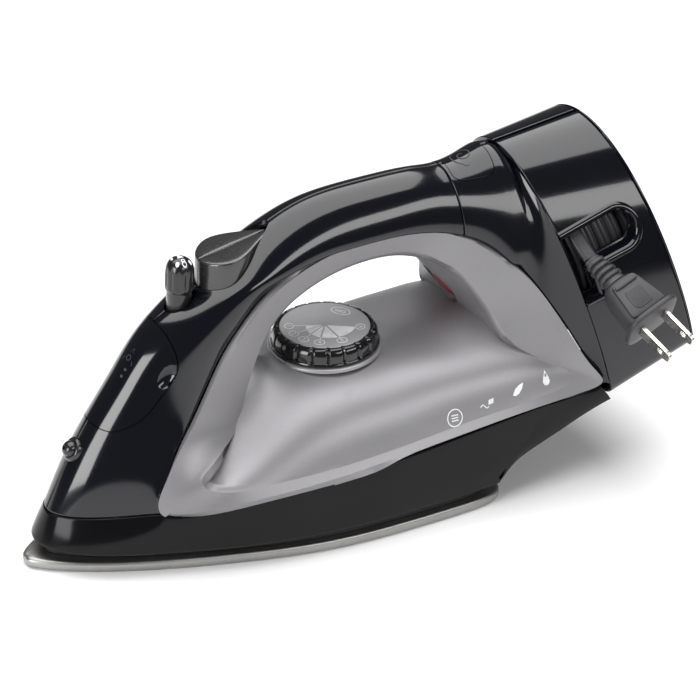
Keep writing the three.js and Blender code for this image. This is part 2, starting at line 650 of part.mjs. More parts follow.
// a plate across the drum, drawn in y and z
const drumPlate = (outline, from, to) =>
  inDrum(
    prism(outline, from, to).applyMatrix4(
      new THREE.Matrix4().set(0, 0, 1, 0, 1, 0, 0, 0, 0, 1, 0, 0, 0, 0, 0, 1),
    ),
  );
const coverTop = drumLength + gap;
const acrossDrum = (along0, along1, y, down, radius, sides = 14) =>
  inDrum(bar(0, 0, along0, along1, radius, sides).rotateY(Math.PI / 2).translate(0, y, -down));
const coverScrews = [[28, 40], [-28, 40], [40, 92], [-40, 92]];
const cover = join(
  cut(
    join(
      drumPlate(coverOutline(0.4), coverTop, coverTop + 0.9),
      drumPlate(coverOutline(1.4), coverTop + 0.7, coverTop + 1.5),
      drumPlate(coverOutline(wall + 1.3), coverTop - 4, coverTop + 1),
    ),
    drumPlate(coverOutline(wall + 3.2), coverTop - 5, coverTop),
  ),
  ...coverScrews.map(([y, down]) => acrossDrum(coverTop - 4.2, coverTop + 0.5, y, down, 4.8, 14)),
);
const coverSinks = coverScrews.map(([y, down]) => acrossDrum(coverTop - 1.6, coverTop + 9, y, down,
  3.2, 12));
addMesh("back_cover", cut(cover, ...coverSinks), black);
coverScrews.forEach(([y, down], i) => {
  const head = turned([[0, 0], [2.6, 0], [2.8, 0.8], [2, 1.5], [0, 1.7]], 12);
  const slotCut = join(box(-0.4, 0.4, -1.8, 1.8, 0.9, 3), box(-1.8, 1.8, -0.4, 0.4, 0.9, 3));
  const screw = cut(head, slotCut).rotateY(Math.PI / 2).translate(coverTop - 1.3, y, -down);
  addMesh(`cover_screw_${i + 1}`, inDrum(screw), steel);
});
const feet = [["heel_foot_right", 30], ["heel_foot_left", -30]];
for (const [name, y] of feet) {
  const foot = turned([[0, 0], [5, 0], [5, 1], [4.2, 1.8], [0, 1.8]], 16);
  addMesh(name, inDrum(foot.rotateY(Math.PI / 2).translate(coverTop + 1.5 + gap, y, -104)), rubber);
}

// cord reel
const reelFrom = reelStart;
const reelTo = reelStart + reelWidth;
const reelHub = windingInner - gap;
const onReelAxis = (geometry) => inDrum(geometry.rotateY(Math.PI / 2).translate(0, 0, -reelCentre));
const reel = turned(
  [
    [4, 0], [reelRadius, 0], [reelRadius, 1.4], [reelHub, 1.4], [reelHub, reelWidth - 1.4],
    [reelRadius, reelWidth - 1.4], [reelRadius, reelWidth], [reelHub - 2, reelWidth], [reelHub - 2,
      1.5], [4, 1.5],
  ],
  32,
);
addMesh("reel_spool", onReelAxis(reel.translate(0, 0, reelFrom)), darkGrey);
const winding = turned(
  [
    [windingInner, 1.4 + gap], [windingOuter, 1.4 + gap],
    [windingOuter, reelWidth - 1.4 - gap], [windingInner, reelWidth - 1.4 - gap],
  ],
  36,
);
addMesh("cord_winding", onReelAxis(winding.translate(0, 0, reelFrom)), rubber);
addMesh("reel_axle", onReelAxis(bar(0, 0, -6, reelTo + 4, 3.6, 14)), steel);
// the flat return spring, a spiral strip in the hub
const spiral = (from, to, turns, count) =>
  steps(0, 1, count).map((t) => {
    const angle = 2 * Math.PI * turns * t;
    const radius = from + (to - from) * t;
    return [radius * Math.cos(angle), radius * Math.sin(angle)];
  });
const springIn = spiral(5.5, 22.4, 4, 56);
const springOut = spiral(6.3, 23.2, 4, 56);
addMesh(
  "return_spring",
  onReelAxis(prism([...springIn, ...springOut.reverse()], reelFrom + 3, reelFrom + 15)),
  steel,
);
addMesh("slip_ring_plate", onReelAxis(cut(bar(0, 0, reelTo + 0.8, reelTo + 2.2, 24, 24), bar(0, 0,
  0, 60, 4.5, 12))), board);

// ---- rewind button, its lever and the reel brake ----
const noseSkin = (u, w) => {
  const p = skin(u, 4 - Math.abs(w));
  return w < 0 ? [p[0], -p[1], p[2]] : p;
};
const noseIn = (u, w) => normalOf(noseSkin, u, w).toArray().map((value) => -value);
const rewindPatch = shellPatch(noseSkin, noseIn, steps(13.2, 17.2, 10), steps(-1.5, 1.5, 10), false, 3.6);
const rewindCap = common(rewindPatch, prism(rewindOutline(0), -18, 12).applyMatrix4(rewindFrame));
addMesh("rewind_button", join(rewindCap, bar(2, 0, -11, -2, 2.2, 12).applyMatrix4(rewindFrame)), black);
const leverPivot = [212, 127.5];
const leverOutline = [
  [198.6, 131.4], [204, 131.2], [211, 130.6], [219, 132.6], [220.8, 133], [225, 134.5],
  [226, 131.6], [221.9, 130.1], [213.5, 124.2], [209.5, 125], [204, 128.2], [199, 128.8],
];
const leverHole = bar(0, 0, -20, 20, 1.7, 12).rotateX(Math.PI / 2).translate(leverPivot[0], 0,
  leverPivot[1]);
addMesh("brake_lever", cut(sidePrism(leverOutline, 4), leverHole), darkGrey);
addMesh(
  "lever_pin",
  bar(0, 0, -14, 14, 1.5, 12).rotateX(Math.PI / 2).translate(leverPivot[0], 0, leverPivot[1]),
  steel,
);

// ---- fill door, spray nozzle ----
const doorPatch = shellPatch(noseSkin, noseIn, steps(1, 7.5, 20), steps(-2, 2, 16));
addMesh("fill_door", common(doorPatch, doorTool(0)), black);
const nozzleProfile = [
  [0, -4], [3, -4], [3, -1.8], [5, -1.8], [5, 0.7], [4.2, 1.3], [3.4, 1.4], [3.1, 2.6], [2.1, 3.6],
  [0, 4.2],
];
const nozzleBore = bar(0, 0, -5, 2.4, 0.8, 8);
addMesh("spray_nozzle", cut(turned(nozzleProfile, 20), nozzleBore).applyMatrix4(nozzleFrame), black);

// ---- push buttons, pumps and springs ----
const buttonTop = (x) => 121 + 0.23 * (x - 77);
const pumpX = 84;
const pumpY = 5.8;
const springLow = 100.6;
const springHigh = 105.4;
const helix = (x, y, radius, low, high, turns) =>
  steps(0, 1, turns * 8).map((t) => {
    const angle = 2 * Math.PI * turns * t;
    return [x + radius * Math.cos(angle), y + radius * Math.sin(angle), low + (high - low) * t];
  });
for (const [name, side] of [["spray", 1], ["steam", -1]]) {
  const y = side * pumpY;
  const half = side > 0 ? box(60, 120, 0.2, 20, 100, 140) : box(60, 120, -20, -0.2, 100, 140);
  const slope = sidePrism([[60, buttonTop(60)], [120, buttonTop(120)], [120, 160], [60, 160]], 30);
  const top = cut(common(prism(dropOutline(0), 106, 140), half), slope);
  addMesh(`${name}_button`, join(top, bar(pumpX, y, 91, 107, 1.8, 12)), darkGrey);
  const pump = cut(bar(pumpX, y, 82, 100, 4.3, 16), bar(pumpX, y, 84, 101, 2.2, 12));
  addMesh(`${name}_pump`, pump, smoke);
  const coil = helix(pumpX, y, 3.2, springLow, springHigh, 4);
  addMesh(`${name}_spring`, swept(coil, roundSection(0.45, 5), 34), steel);
}
const sprayHose = [
  [25.4, 0, 46.4], [29, 3, 46], [34, 8, 50], [44, 10.4, 57], [60, 10.6, 65], [75, 8.5, 73], [82,
    6.4, 77], [84, 5.8, 81.4],
];
addMesh("spray_tube", swept(sprayHose, roundSection(1, 6), 22), smoke);

// ---- steam knob and valve ----
const knobProfile = [[0, 98], [5.2, 98], [5.2, 109], [5.8, 110], [5.8, 117.5], [5.1, 120.6], [3.2,
  122.6], [0, 123.3]];
const knobRibs = [];
for (let i = 0; i < 12; i++) {
  const angle = (i * Math.PI) / 6;
  knobRibs.push(bar(6.1 * Math.cos(angle), 6.1 * Math.sin(angle), 111, 118.5, 0.6, 5));
}
const knob = cut(turned(knobProfile, 24), ...knobRibs).translate(knobX, 0, 0);
addMesh("steam_knob", knob, darkGrey);
addMesh("steam_valve_rod", bar(knobX, 0, 10.2, 97.7, 1.6, 12), steel);
addMesh("valve_spring", swept(helix(knobX, 0, 4, 40, 52, 5), roundSection(0.5, 5), 42), steel);
addMesh("valve_collar", cut(bar(knobX, 0, 53, 55.5, 5, 16), bar(knobX, 0, 50, 60, 1.9, 12)), brass);

// ---- water tank ----
const tankHalf = [[26, 0], [27, 6], [34, 12], [46, 20], [62, 26], [80, 30], [100, 32], [112, 32]];
const neckSide = [[36, 30], [38.5, 60], [43.5, 74], [55, 74], [60, 66], [60, 30]];
const mouthX = 49.5;
const inset = (outline, middle, amount) =>
  outline.map(([x, y]) => {
    const reach = Math.hypot(x - middle[0], y - middle[1]);
    const scale = 1 - amount / reach;
    return [middle[0] + (x - middle[0]) * scale, middle[1] + (y - middle[1]) * scale];
  });
const tankOutline = [...tankHalf, ...tankHalf.slice(1).reverse().map(([x, y]) => [x, -y])];
const tank = cut(
  join(prism(tankOutline, 17.5, 37), sidePrism(neckSide, 7.5)),
  join(prism(inset(tankOutline, [75, 0], 2.2), 19.3, 35.2), sidePrism(inset(neckSide, [49, 50], 2), 5.7)),
  bar(knobX, 0, 10, 40, 2.2, 12),
  bar(mouthX, 0, 66, 80, 4.2, 18),
);
addMesh("water_tank", tank, smoke);
const gasket = cut(bar(mouthX, 0, 74.3, 75.6, 6, 20), bar(mouthX, 0, 70, 80, 4.4, 18));
addMesh("fill_gasket", gasket, rubber);

// ---- temperature dial, thermostat and fuse ----
const notches = [];
for (let i = 0; i < 20; i++) {
  const angle = (i * Math.PI) / 10;
  const reach = dialRadius + 0.5;
  notches.push(bar(reach * Math.cos(angle), reach * Math.sin(angle), 0, 20, 1.3, 5));
}
const dialLow = 3;
const dialTop = dialLow + 7.2;
const dialKnob = cut(
  join(bar(0, 0, dialLow, dialTop - 0.6, dialRadius, 60), bar(0, 0, dialTop - 0.7, dialTop,
    dialRadius - 0.7, 60)),
  ...notches,
  bar(0, 0, dialTop - 0.8, dialTop + 1, 19.2, 48),
  turned([[5, 0], [20.5, 0], [20.5, dialTop - 3], [5, dialTop - 3]], 36),
);
addMesh("temperature_dial", inDial(join(dialKnob, bar(0, 0, -51, dialLow + 1, 2.8, 16))), darkGrey);
addMesh("dial_face", inDial(bar(0, 0, dialTop - 0.5, dialTop + 0.3, 18.9, 48)), dialGrey);
const dialRing = cut(bar(0, 0, 0.9, 2.6, 24, 48), bar(0, 0, 0, 4, 19, 40));
addMesh("dial_ring", inDial(dialRing), grey);
const thermostat = join(bar(shaftFootX, 0, 9.9, 12.3, 12, 24), bar(shaftFootX, 0, 12.2, 15.6, 4, 14));
addMesh("thermostat_body", thermostat, steel);
addMesh("thermal_fuse", bar(0, 0, -7, 7, 1.3, 10).rotateY(Math.PI / 2).translate(163, 0, 11.4), brass);

// ---- electrics behind the tank ----
addMesh("auto_off_board", box(152, 184, -22, 22, 22, 23.6), board);
addMesh("tilt_switch", bar(160, 10, 23.9, 34, 4, 14), steel);
addMesh("terminal_block", box(190, 204, -15, 15, 24, 36), phenolic);

// ---- loose end of the cord, strain relief and plug ----
// points along the drum's axis, across, and down from its top
const cordRun = [
  [9.1, 0, 20.9], [9.1, -10, 22.2], [9.1, -19, 25.8], [9.1, -25.6, 30.4], [9.1, -31.5, 35.6], [8.6,
    -38, 41.6], [8.2, -43.6, 45.7],
];
const flat = (width, thickness) => {
  const count = 10;
  return new THREE.Shape(
    Array.from({ length: count }, (_, i) => {
      const angle = (2 * Math.PI * i) / count;
      return new THREE.Vector2((width / 2) * Math.cos(angle), (thickness / 2) * Math.sin(angle));
    }),
  );
};
const cord = swept(cordRun.map(([along, y, down]) => [along, y, -down]), flat(cordWidth,
  cordThickness), 30);
addMesh("cord_lead", inDrum(cord), rubber);
const plugDip = THREE.MathUtils.degToRad(27);
const plugTurn = THREE.MathUtils.degToRad(4);
const plugFrame = new THREE.Matrix4()
  .makeBasis(
    new THREE.Vector3(1, 0, 0),
    new THREE.Vector3(0, -Math.sin(plugDip), Math.cos(plugDip)),
    new THREE.Vector3(0, -Math.cos(plugDip), -Math.sin(plugDip)),
  )
  .multiply(new THREE.Matrix4().makeRotationY(plugTurn))
  .setPosition(8.2, -44, -46);
const onPlug = (geometry) => inDrum(geometry.applyMatrix4(plugFrame));
const taper = (z0, z1, width0, thick0, width1, thick1, sides = 16) => {
  const geometry = new THREE.CylinderGeometry(1, 1, z1 - z0,
    sides).rotateX(Math.PI / 2).translate(0, 0, (z0 + z1) / 2);
  const place = geometry.attributes.position;
  for (let i = 0; i < place.count; i++) {
    const t = (place.getZ(i) - z0) / (z1 - z0);
    place.setX(i, (place.getX(i) * (width0 + (width1 - width0) * t)) / 2);
    place.setY(i, (place.getY(i) * (thick0 + (thick1 - thick0) * t)) / 2);
  }
  return geometry;
};
const ribs = [4, 7.5, 11].map((z) => taper(z, z + 1.6, 9 + z * 0.3, 6.6 + z * 0.3, 9 + z * 0.3,
  6.6 + z * 0.3));
addMesh("strain_relief", onPlug(join(taper(0, 15, 7.6, 5, 11, 8), ...ribs)), rubber);
const plug = join(taper(15.3, 19, 15, 9.5, 19, 12), taper(18.9, 35, 19, 12, 21, 13), taper(34.9,
  37.6, 25, 20, 25.5, 21));
addMesh("plug_body", onPlug(plug), rubber);
[["plug_blade_1", -6.35], ["plug_blade_2", 6.35]].forEach(([name, x]) => {
  const blade = cut(
    box(x - 0.75, x + 0.75, -3.15, 3.15, 37.9, 54.6),
    bar(0, 0, -3, 3, 1.6, 12).rotateY(Math.PI / 2).translate(x, 0, 49.4),
  );
  addMesh(name, onPlug(blade), brass);
});

export default part;
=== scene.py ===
import math
import bmesh
import bpy
import numpy as np
from mathutils import Matrix, Vector
from mathutils.bvhtree import BVHTree


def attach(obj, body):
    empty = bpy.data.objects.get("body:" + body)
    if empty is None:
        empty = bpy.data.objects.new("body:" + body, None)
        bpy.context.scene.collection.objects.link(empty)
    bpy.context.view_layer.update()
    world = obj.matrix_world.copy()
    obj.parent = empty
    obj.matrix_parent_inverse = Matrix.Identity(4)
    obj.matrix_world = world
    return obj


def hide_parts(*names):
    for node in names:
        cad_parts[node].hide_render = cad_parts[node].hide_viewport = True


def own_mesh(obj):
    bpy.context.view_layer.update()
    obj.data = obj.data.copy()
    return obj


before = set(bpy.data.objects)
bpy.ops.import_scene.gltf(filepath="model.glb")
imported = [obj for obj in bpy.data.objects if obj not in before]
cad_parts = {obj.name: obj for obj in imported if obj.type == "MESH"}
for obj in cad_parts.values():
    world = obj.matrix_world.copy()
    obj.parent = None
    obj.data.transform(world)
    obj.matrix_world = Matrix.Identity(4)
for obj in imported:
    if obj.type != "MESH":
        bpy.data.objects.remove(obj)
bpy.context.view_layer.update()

# All shapes are worked out in millimetres with the nose tip at x = 0, then moved and scaled into the frame.
middleX = 146.45


def toFrame(points):
    points = np.asarray(points, float).reshape(-1, 3)
    return (points - [middleX, 0, 0]) * 0.001


def addObject(name, data):
    made = bpy.data.objects.new(name, data)
    bpy.context.collection.objects.link(made)
    return made


# width is what the camera sees at its distance, and aside is how far the nose tip is from the middle of that
view = {"azimuth": -33, "elevation": 28.5, "roll": 3.5, "distance": 820, "width": 280, "sensor": 36,
        "noseTip": (0, 0, 2), "aside": (-130, -84.4)}


def makeCamera():
    a, e, r = (math.radians(view[key]) for key in ("azimuth", "elevation", "roll"))
    back = np.array([math.sin(a) * math.cos(e), -math.cos(a) * math.cos(e), math.sin(e)])
    level = np.array([math.cos(a), math.sin(a), 0])
    upright = np.cross(back, level)
    right = math.cos(r) * level + math.sin(r) * upright
    up = math.cos(r) * upright - math.sin(r) * level
    place = np.array(view["noseTip"]) + back * view["distance"]
    place = place - right * view["aside"][0] - up * view["aside"][1]
    data = bpy.data.cameras.new("camera")
    data.sensor_width = view["sensor"]
    data.lens = view["distance"] / view["width"] * view["sensor"]
    data.clip_start = 0.01
    data.clip_end = 20
    camera = addObject("camera", data)
    camera.matrix_world = Matrix([
        [right[0], up[0], back[0], (place[0] - middleX) * 0.001],
        [right[1], up[1], back[1], place[1] * 0.001],
        [right[2], up[2], back[2], place[2] * 0.001],
        [0, 0, 0, 1]])
    bpy.context.scene.camera = camera


makeCamera()
print("camera set")


# finishes
class Signal:
    # a value on a node's socket, usable in arithmetic
    def __init__(self, tree, socket):
        self.tree = tree
        self.socket = socket

    def withMath(self, operation, first, second):
        made = self.tree.nodes.new("ShaderNodeMath")
        made.operation = operation
        for slot, value in zip(made.inputs, (first, second)):
            if isinstance(value, Signal):
                self.tree.links.new(value.socket, slot)
            else:
                slot.default_value = value
        return Signal(self.tree, made.outputs[0])

    def __add__(self, other):
        return self.withMath("ADD", self, other)

    def __radd__(self, other):
        return self.withMath("ADD", other, self)

    def __sub__(self, other):
        return self.withMath("SUBTRACT", self, other)

    def __rsub__(self, other):
        return self.withMath("SUBTRACT", other, self)

    def __mul__(self, other):
        return self.withMath("MULTIPLY", self, other)

    def __rmul__(self, other):
        return self.withMath("MULTIPLY", other, self)


class Finish:
    def __init__(self, name, **fixed):
        self.material = bpy.data.materials.new(name)
        self.material.use_nodes = True
        self.tree = self.material.node_tree
        self.shader = self.tree.nodes["Principled BSDF"]
        for key, value in fixed.items():
            self.shader.inputs[key.replace("_", " ")].default_value = value

    def node(self, kind, settings=None, sockets=None, output=0):
        made = self.tree.nodes.new(kind)
        for key, value in (settings or {}).items():
            setattr(made, key, value)
        names = {slot.identifier: slot for slot in made.inputs}
        for key, value in (sockets or {}).items():
            slot = names.get(key) or made.inputs[key]
            if isinstance(value, Signal):
                self.tree.links.new(value.socket, slot)
            else:
                slot.default_value = value
        return Signal(self.tree, made.outputs[output])

    def feed(self, name, signal):
        self.tree.links.new(signal.socket, self.shader.inputs[name])

    def grain(self, scale, detail=3, rough=0.55, stretch=(1, 1, 1)):
        place = self.node("ShaderNodeTexCoord", output=3)
        if stretch != (1, 1, 1):
            place = self.node("ShaderNodeMapping", {}, {"Vector": place, "Scale": stretch})
        settings = {"Vector": place, "Scale": scale, "Detail": detail, "Roughness": rough}
        return self.node("ShaderNodeTexNoise", {}, settings)

    def shade(self, mask, dark, light):
        mixed = self.node("ShaderNodeMix", {"data_type": "RGBA"},
                          {"Factor_Float": mask, "A_Color": (*dark, 1), "B_Color": (*light, 1)}, output=2)
        self.feed("Base Color", mixed)

    def relief(self, height, depth):
        bump = self.node("ShaderNodeBump", {}, {"Height": height, "Distance": depth, "Strength": 1.0})
        self.feed("Normal", bump)


def between(signal, low, high, finish):
    return finish.node("ShaderNodeMapRange", {}, {"Value": signal, "From Min": low, "From Max": high})


def makeGloss(name, dark, light, rough, coat, shine=0.4, ripple=0.00002):
    # moulded gloss plastic: a little colour drift, faint ripple, fine dust and hairline scuffs
    finish = Finish(name, IOR=1.5, Specular_IOR_Level=shine, Coat_Weight=coat, Coat_Roughness=0.04)
    drift = finish.grain(18, 2)
    dust = between(finish.grain(900, 2, 0.6), 0.62, 0.72, finish)
    scuff = between(finish.grain(60, 5, 0.7, (1, 14, 3)), 0.6, 0.8, finish)
    finish.shade(between(drift, 0.3, 0.7, finish) * 0.85 + dust * 0.15, dark, light)
    finish.feed("Roughness", rough + drift * 0.05 + scuff * 0.07 + dust * 0.05)
    finish.relief(finish.grain(55, 1) * 0.8 + scuff * 0.1, ripple)
    return finish.material


def makeSatin(name, dark, light, rough, metallic, fleck, depth):
    # satin paint with metal flecks
    finish = Finish(name, Metallic=metallic, IOR=1.5)
    drift = finish.grain(14, 2)
    flecks = finish.grain(fleck, 1, 0.5)
    worn = between(finish.grain(120, 4, 0.65), 0.62, 0.78, finish)
    finish.shade(drift * 0.55 + flecks * 0.45, dark, light)
    finish.feed("Roughness", rough + drift * 0.08 - flecks * 0.05 + worn * 0.08)
    finish.relief(flecks + worn * 0.4, depth)
    return finish.material


def makeMoulded(name, dark, light, rough, grainScale, depth):
    # fine spark-eroded texture on plastic and rubber
    finish = Finish(name, IOR=1.48)
    drift = finish.grain(30, 3)
    pores = finish.grain(grainScale, 2, 0.6)
    rubbed = between(finish.grain(75, 5, 0.7), 0.58, 0.75, finish)
    finish.shade(drift * 0.7 + pores * 0.3, dark, light)
    finish.feed("Roughness", rough + pores * 0.1 - rubbed * 0.1)
    finish.relief(pores + rubbed * 0.3, depth)
    return finish.material


def makeMetal(name, dark, light, rough, stretch, depth):
    # drawn or brushed metal
    finish = Finish(name, Metallic=1.0)
    brushed = finish.grain(180, 4, 0.7, stretch)
    stain = finish.grain(22, 3)
    finish.shade(brushed * 0.6 + stain * 0.4, dark, light)
    finish.feed("Roughness", rough + brushed * 0.16 + stain * 0.06)
    finish.relief(brushed, depth)
    return finish.material


def makeClear(name, tint, rough, weight):
    finish = Finish(name, IOR=1.49, Transmission_Weight=weight)
    haze = finish.grain(45, 3)
    finish.shade(haze, tuple(0.6 * c for c in tint), tint)
    finish.feed("Roughness", rough + haze * 0.08)
    finish.relief(haze, 0.00003)
    return finish.material


def makePrint(name, colour):
    finish = Finish(name, IOR=1.45)
    thin = finish.grain(260, 4, 0.7)
    finish.shade(between(thin, 0.3, 0.6, finish), tuple(0.8 * c for c in colour), colour)
    finish.feed("Roughness", 0.42 + thin * 0.12)
    finish.relief(thin, 0.00001)
    return finish.material


glossBlack = makeGloss("glossBlack", (0.002, 0.0022, 0.004), (0.004, 0.0044, 0.007), 0.08, 0.25)
skirtBlack = makeGloss("skirtBlack", (0.0025, 0.0025, 0.003), (0.005, 0.005, 0.006), 0.1, 0.03, 0.16)
satinGrey = makeSatin("satinGrey", (0.19, 0.185, 0.194), (0.31, 0.303, 0.314), 0.42, 0.55, 2600, 0.00001)
ringGrey = makeSatin("ringGrey", (0.24, 0.235, 0.245), (0.38, 0.37, 0.385), 0.34, 0.5, 2600, 0.00001)
buttonGrey = makeGloss("buttonGrey", (0.016, 0.016, 0.017), (0.026, 0.026, 0.027), 0.24, 0.5, 0.6)
knobBlack = makeGloss("knobBlack", (0.008, 0.008, 0.009), (0.014, 0.014, 0.016), 0.2, 0.35)
dialBlack = makeGloss("dialBlack", (0.004, 0.004, 0.005), (0.009, 0.009, 0.01), 0.14, 0.4)
dialFaceGrey = makeSatin("dialFaceGrey", (0.3, 0.295, 0.305), (0.42, 0.41, 0.42), 0.42, 0.15, 1800, 0.00001)
soleMetal = makeMetal("soleMetal", (0.27, 0.265, 0.26), (0.42, 0.415, 0.405), 0.3, (1, 10, 1), 0.00002)
brightSteel = makeMetal("brightSteel", (0.45, 0.45, 0.44), (0.68, 0.67, 0.66), 0.2, (8, 1, 1), 0.00001)
bladeMetal = makeMetal("bladeMetal", (0.5, 0.48, 0.44), (0.78, 0.75, 0.7), 0.16, (1, 1, 9), 0.00001)
brassMetal = makeMetal("brassMetal", (0.5, 0.38, 0.18), (0.7, 0.55, 0.28), 0.25, (6, 1, 1), 0.00001)
cordRubber = makeMoulded("cordRubber", (0.014, 0.014, 0.016), (0.03, 0.03, 0.034), 0.42, 700, 0.00004)
plugRubber = makeMoulded("plugRubber", (0.02, 0.02, 0.022), (0.042, 0.041, 0.045), 0.44, 900, 0.00004)
deepBlack = makeMoulded("deepBlack", (0.006, 0.006, 0.007), (0.012, 0.012, 0.013), 0.6, 900, 0.00003)
redClear = makeClear("redClear", (0.3, 0.008, 0.035), 0.1, 0.12)
smokeClear = makeClear("smokeClear", (0.3, 0.33, 0.38), 0.12, 0.6)
boardGreen = makeMoulded("boardGreen", (0.02, 0.09, 0.04), (0.04, 0.16, 0.07), 0.4, 600, 0.00002)
printWhite = makePrint("printWhite", (0.78, 0.78, 0.79))
printDark = makePrint("printDark", (0.008, 0.008, 0.009))
print("finishes made")


# mesh tools
def makeMesh(name, points, faces, material, smoothAngle=38):
    data = bpy.data.meshes.new(name)
    data.from_pydata([tuple(p) for p in toFrame(points)], [], [tuple(int(i) for i in f) for f in faces])
    data.materials.append(material)
    piece = addObject(name, data)
    soften(piece, smoothAngle)
    return piece


def soften(piece, angle=38):
    data = piece.data
    mesh = bmesh.new()
    mesh.from_mesh(data)
    bmesh.ops.recalc_face_normals(mesh, faces=mesh.faces)
    if mesh.calc_volume(signed=True) < 0:
        bmesh.ops.reverse_faces(mesh, faces=mesh.faces)
    limit = math.radians(angle)
    for face in mesh.faces:
        face.smooth = True
    for edge in mesh.edges:
        edge.smooth = len(edge.link_faces) == 2 and edge.calc_face_angle(0) < limit
    mesh.to_mesh(data)
    mesh.free()


def carve(piece, operation, *tools):
    # cuts, or keeps the common part, with closed tool pieces, which are then removed
    for tool in tools:
        step = piece.modifiers.new("carve", "BOOLEAN")
        step.operation = operation
        step.solver = "MANIFOLD"
        step.object = tool
    graph = bpy.context.evaluated_depsgraph_get()
    result = bpy.data.meshes.new_from_object(piece.evaluated_get(graph))
    piece.modifiers.clear()
    old = piece.data
    name = old.name
    material = old.materials[0]
    piece.data = result
    bpy.data.meshes.remove(old)
    result.name = name
    result.materials.clear()
    result.materials.append(material)
    for tool in tools:
        bpy.data.objects.remove(tool)
    soften(piece)
    return piece


def finishPiece(piece, body, slot, *nodes):
    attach(piece, body)
    if nodes:
        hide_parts(*nodes)
    return piece


def gridFaces(rows, columns, closedRows=False, closedColumns=False, start=0):
    faces = []
    for i in range(rows if closedRows else rows - 1):
        for j in range(columns if closedColumns else columns - 1):
            a = start + i * columns + j
            b = start + ((i + 1) % rows) * columns + j
            c = start + ((i + 1) % rows) * columns + (j + 1) % columns
            d = start + i * columns + (j + 1) % columns
            faces.append((a, b, c, d))
    return faces


def cappedFaces(rings, count):
    # a closed skin over rings of count points, filled at both ends
    faces = gridFaces(rings, count, closedColumns=True)
    return faces + [list(range(count))[::-1], [(rings - 1) * count + k for k in range(count)]]


def placed(points, place):
    points = np.asarray(points, float)
    return points if place is None else points @ place[0].T + place[1]


def pieceFrom(name, mesh, *materials):
    # makes a piece of a bmesh, which is freed
    data = bpy.data.meshes.new(name)
    mesh.to_mesh(data)
    mesh.free()
    for material in materials:
        data.materials.append(material)
    return addObject(name, data)


def turnedPiece(name, profile, material, count=64, place=None, radiusAt=None):
    # a profile of [radius, height] turned about Z; radiusAt may vary the radius with the angle
    points = []
    for i in range(count):
        angle = 2 * math.pi * i / count
        for radius, height in profile:
            r = radius if radiusAt is None else radiusAt(radius, height, angle)
            points.append((r * math.cos(angle), r * math.sin(angle), height))
    faces = gridFaces(count, len(profile), closedRows=True)
    if profile[0][0] > 1e-6:
        faces.append([i * len(profile) for i in range(count)])
    if profile[-1][0] > 1e-6:
        faces.append([i * len(profile) + len(profile) - 1 for i in range(count)][::-1])
    piece = makeMesh(name, placed(points, place), faces, material)
    mesh = bmesh.new()
    mesh.from_mesh(piece.data)
    bmesh.ops.remove_doubles(mesh, verts=mesh.verts, dist=1e-7)
    mesh.to_mesh(piece.data)
    mesh.free()
    soften(piece)
    return piece


def tilted(angle, centre):
    # a frame turned about Y by angle, with its origin at centre
    c, s = math.cos(angle), math.sin(angle)
    return np.array([[c, 0, s], [0, 1, 0], [-s, 0, c]]), np.array(centre, float)


def turnedRing(name, profile, material, count, place):
    # a profile that closes on itself, turned about Z
    points = []
    for i in range(count):
        angle = 2 * math.pi * i / count
        points += [(r * math.cos(angle), r * math.sin(angle), z) for r, z in profile]
    faces = gridFaces(count, len(profile), closedRows=True, closedColumns=True)
    return makeMesh(name, placed(points, place), faces, material)


def barTool(ends, place=None):
    # a closed bar between two outlines with the same number of points
    points = placed(np.vstack(ends), place)
    count = len(points) // 2
    faces = [list(range(count))[::-1], list(range(count, 2 * count))]
    faces += [(i, (i + 1) % count, count + (i + 1) % count, count + i) for i in range(count)]
    return makeMesh("tool", points, faces, deepBlack)


def prismTool(outline, low, high, place=None):
    # a closed prism over an outline of [x, y]
    ends = [np.column_stack([outline, np.full(len(outline), float(level))]) for level in (low, high)]
    return barTool(ends, place)


def sideTool(outline, half):
    # a closed prism over a side outline of [x, z], from y = -half to y = half
    ends = [np.column_stack([outline[:, 0], np.full(len(outline), float(y)),
                             outline[:, 1]]) for y in (-half, half)]
    return barTool(ends)


def discOutline(radius, count=40, centre=(0, 0)):
    angles = np.linspace(0, 2 * math.pi, count, endpoint=False)
    return np.column_stack([centre[0] + radius * np.cos(angles), centre[1] + radius * np.sin(angles)])


def splineRail(points, closed):
    # a uniform cubic B-spline whose controls are pushed out once, so that it passes very near its points
    p = np.asarray(points, float)
    count = len(p)
    if closed:
        controls = p - (np.roll(p, 1, 0) - 2 * p + np.roll(p, -1, 0)) / 6
        controls = np.vstack([controls[-1:], controls, controls[:2]])
    else:
        controls = p.copy()
        controls[1:-1] -= (p[:-2] - 2 * p[1:-1] + p[2:]) / 6
        before, after = 2 * controls[:1] - controls[1:2], 2 * controls[-1:] - controls[-2:-1]
        controls = np.vstack([before, controls, after])

    def at(u):
        u = np.asarray(u, float)
        if closed:
            u = u % count
            span = np.clip(np.floor(u).astype(int), 0, count - 1)
        else:
            span = np.clip(np.floor(u).astype(int), 0, count - 2)
        t = u - span
        weights = ((1 - t) ** 3 / 6, (3 * t ** 3 - 6 * t ** 2 + 4) / 6,
                   (-3 * t ** 3 + 3 * t ** 2 + 3 * t + 1) / 6, t ** 3 / 6)
        return sum(w[..., None] * controls[span + k] for k, w in enumerate(weights))

    return at


def smoothOutline(points, count):
    return splineRail(points, True)(np.linspace(0, len(points), count, endpoint=False))


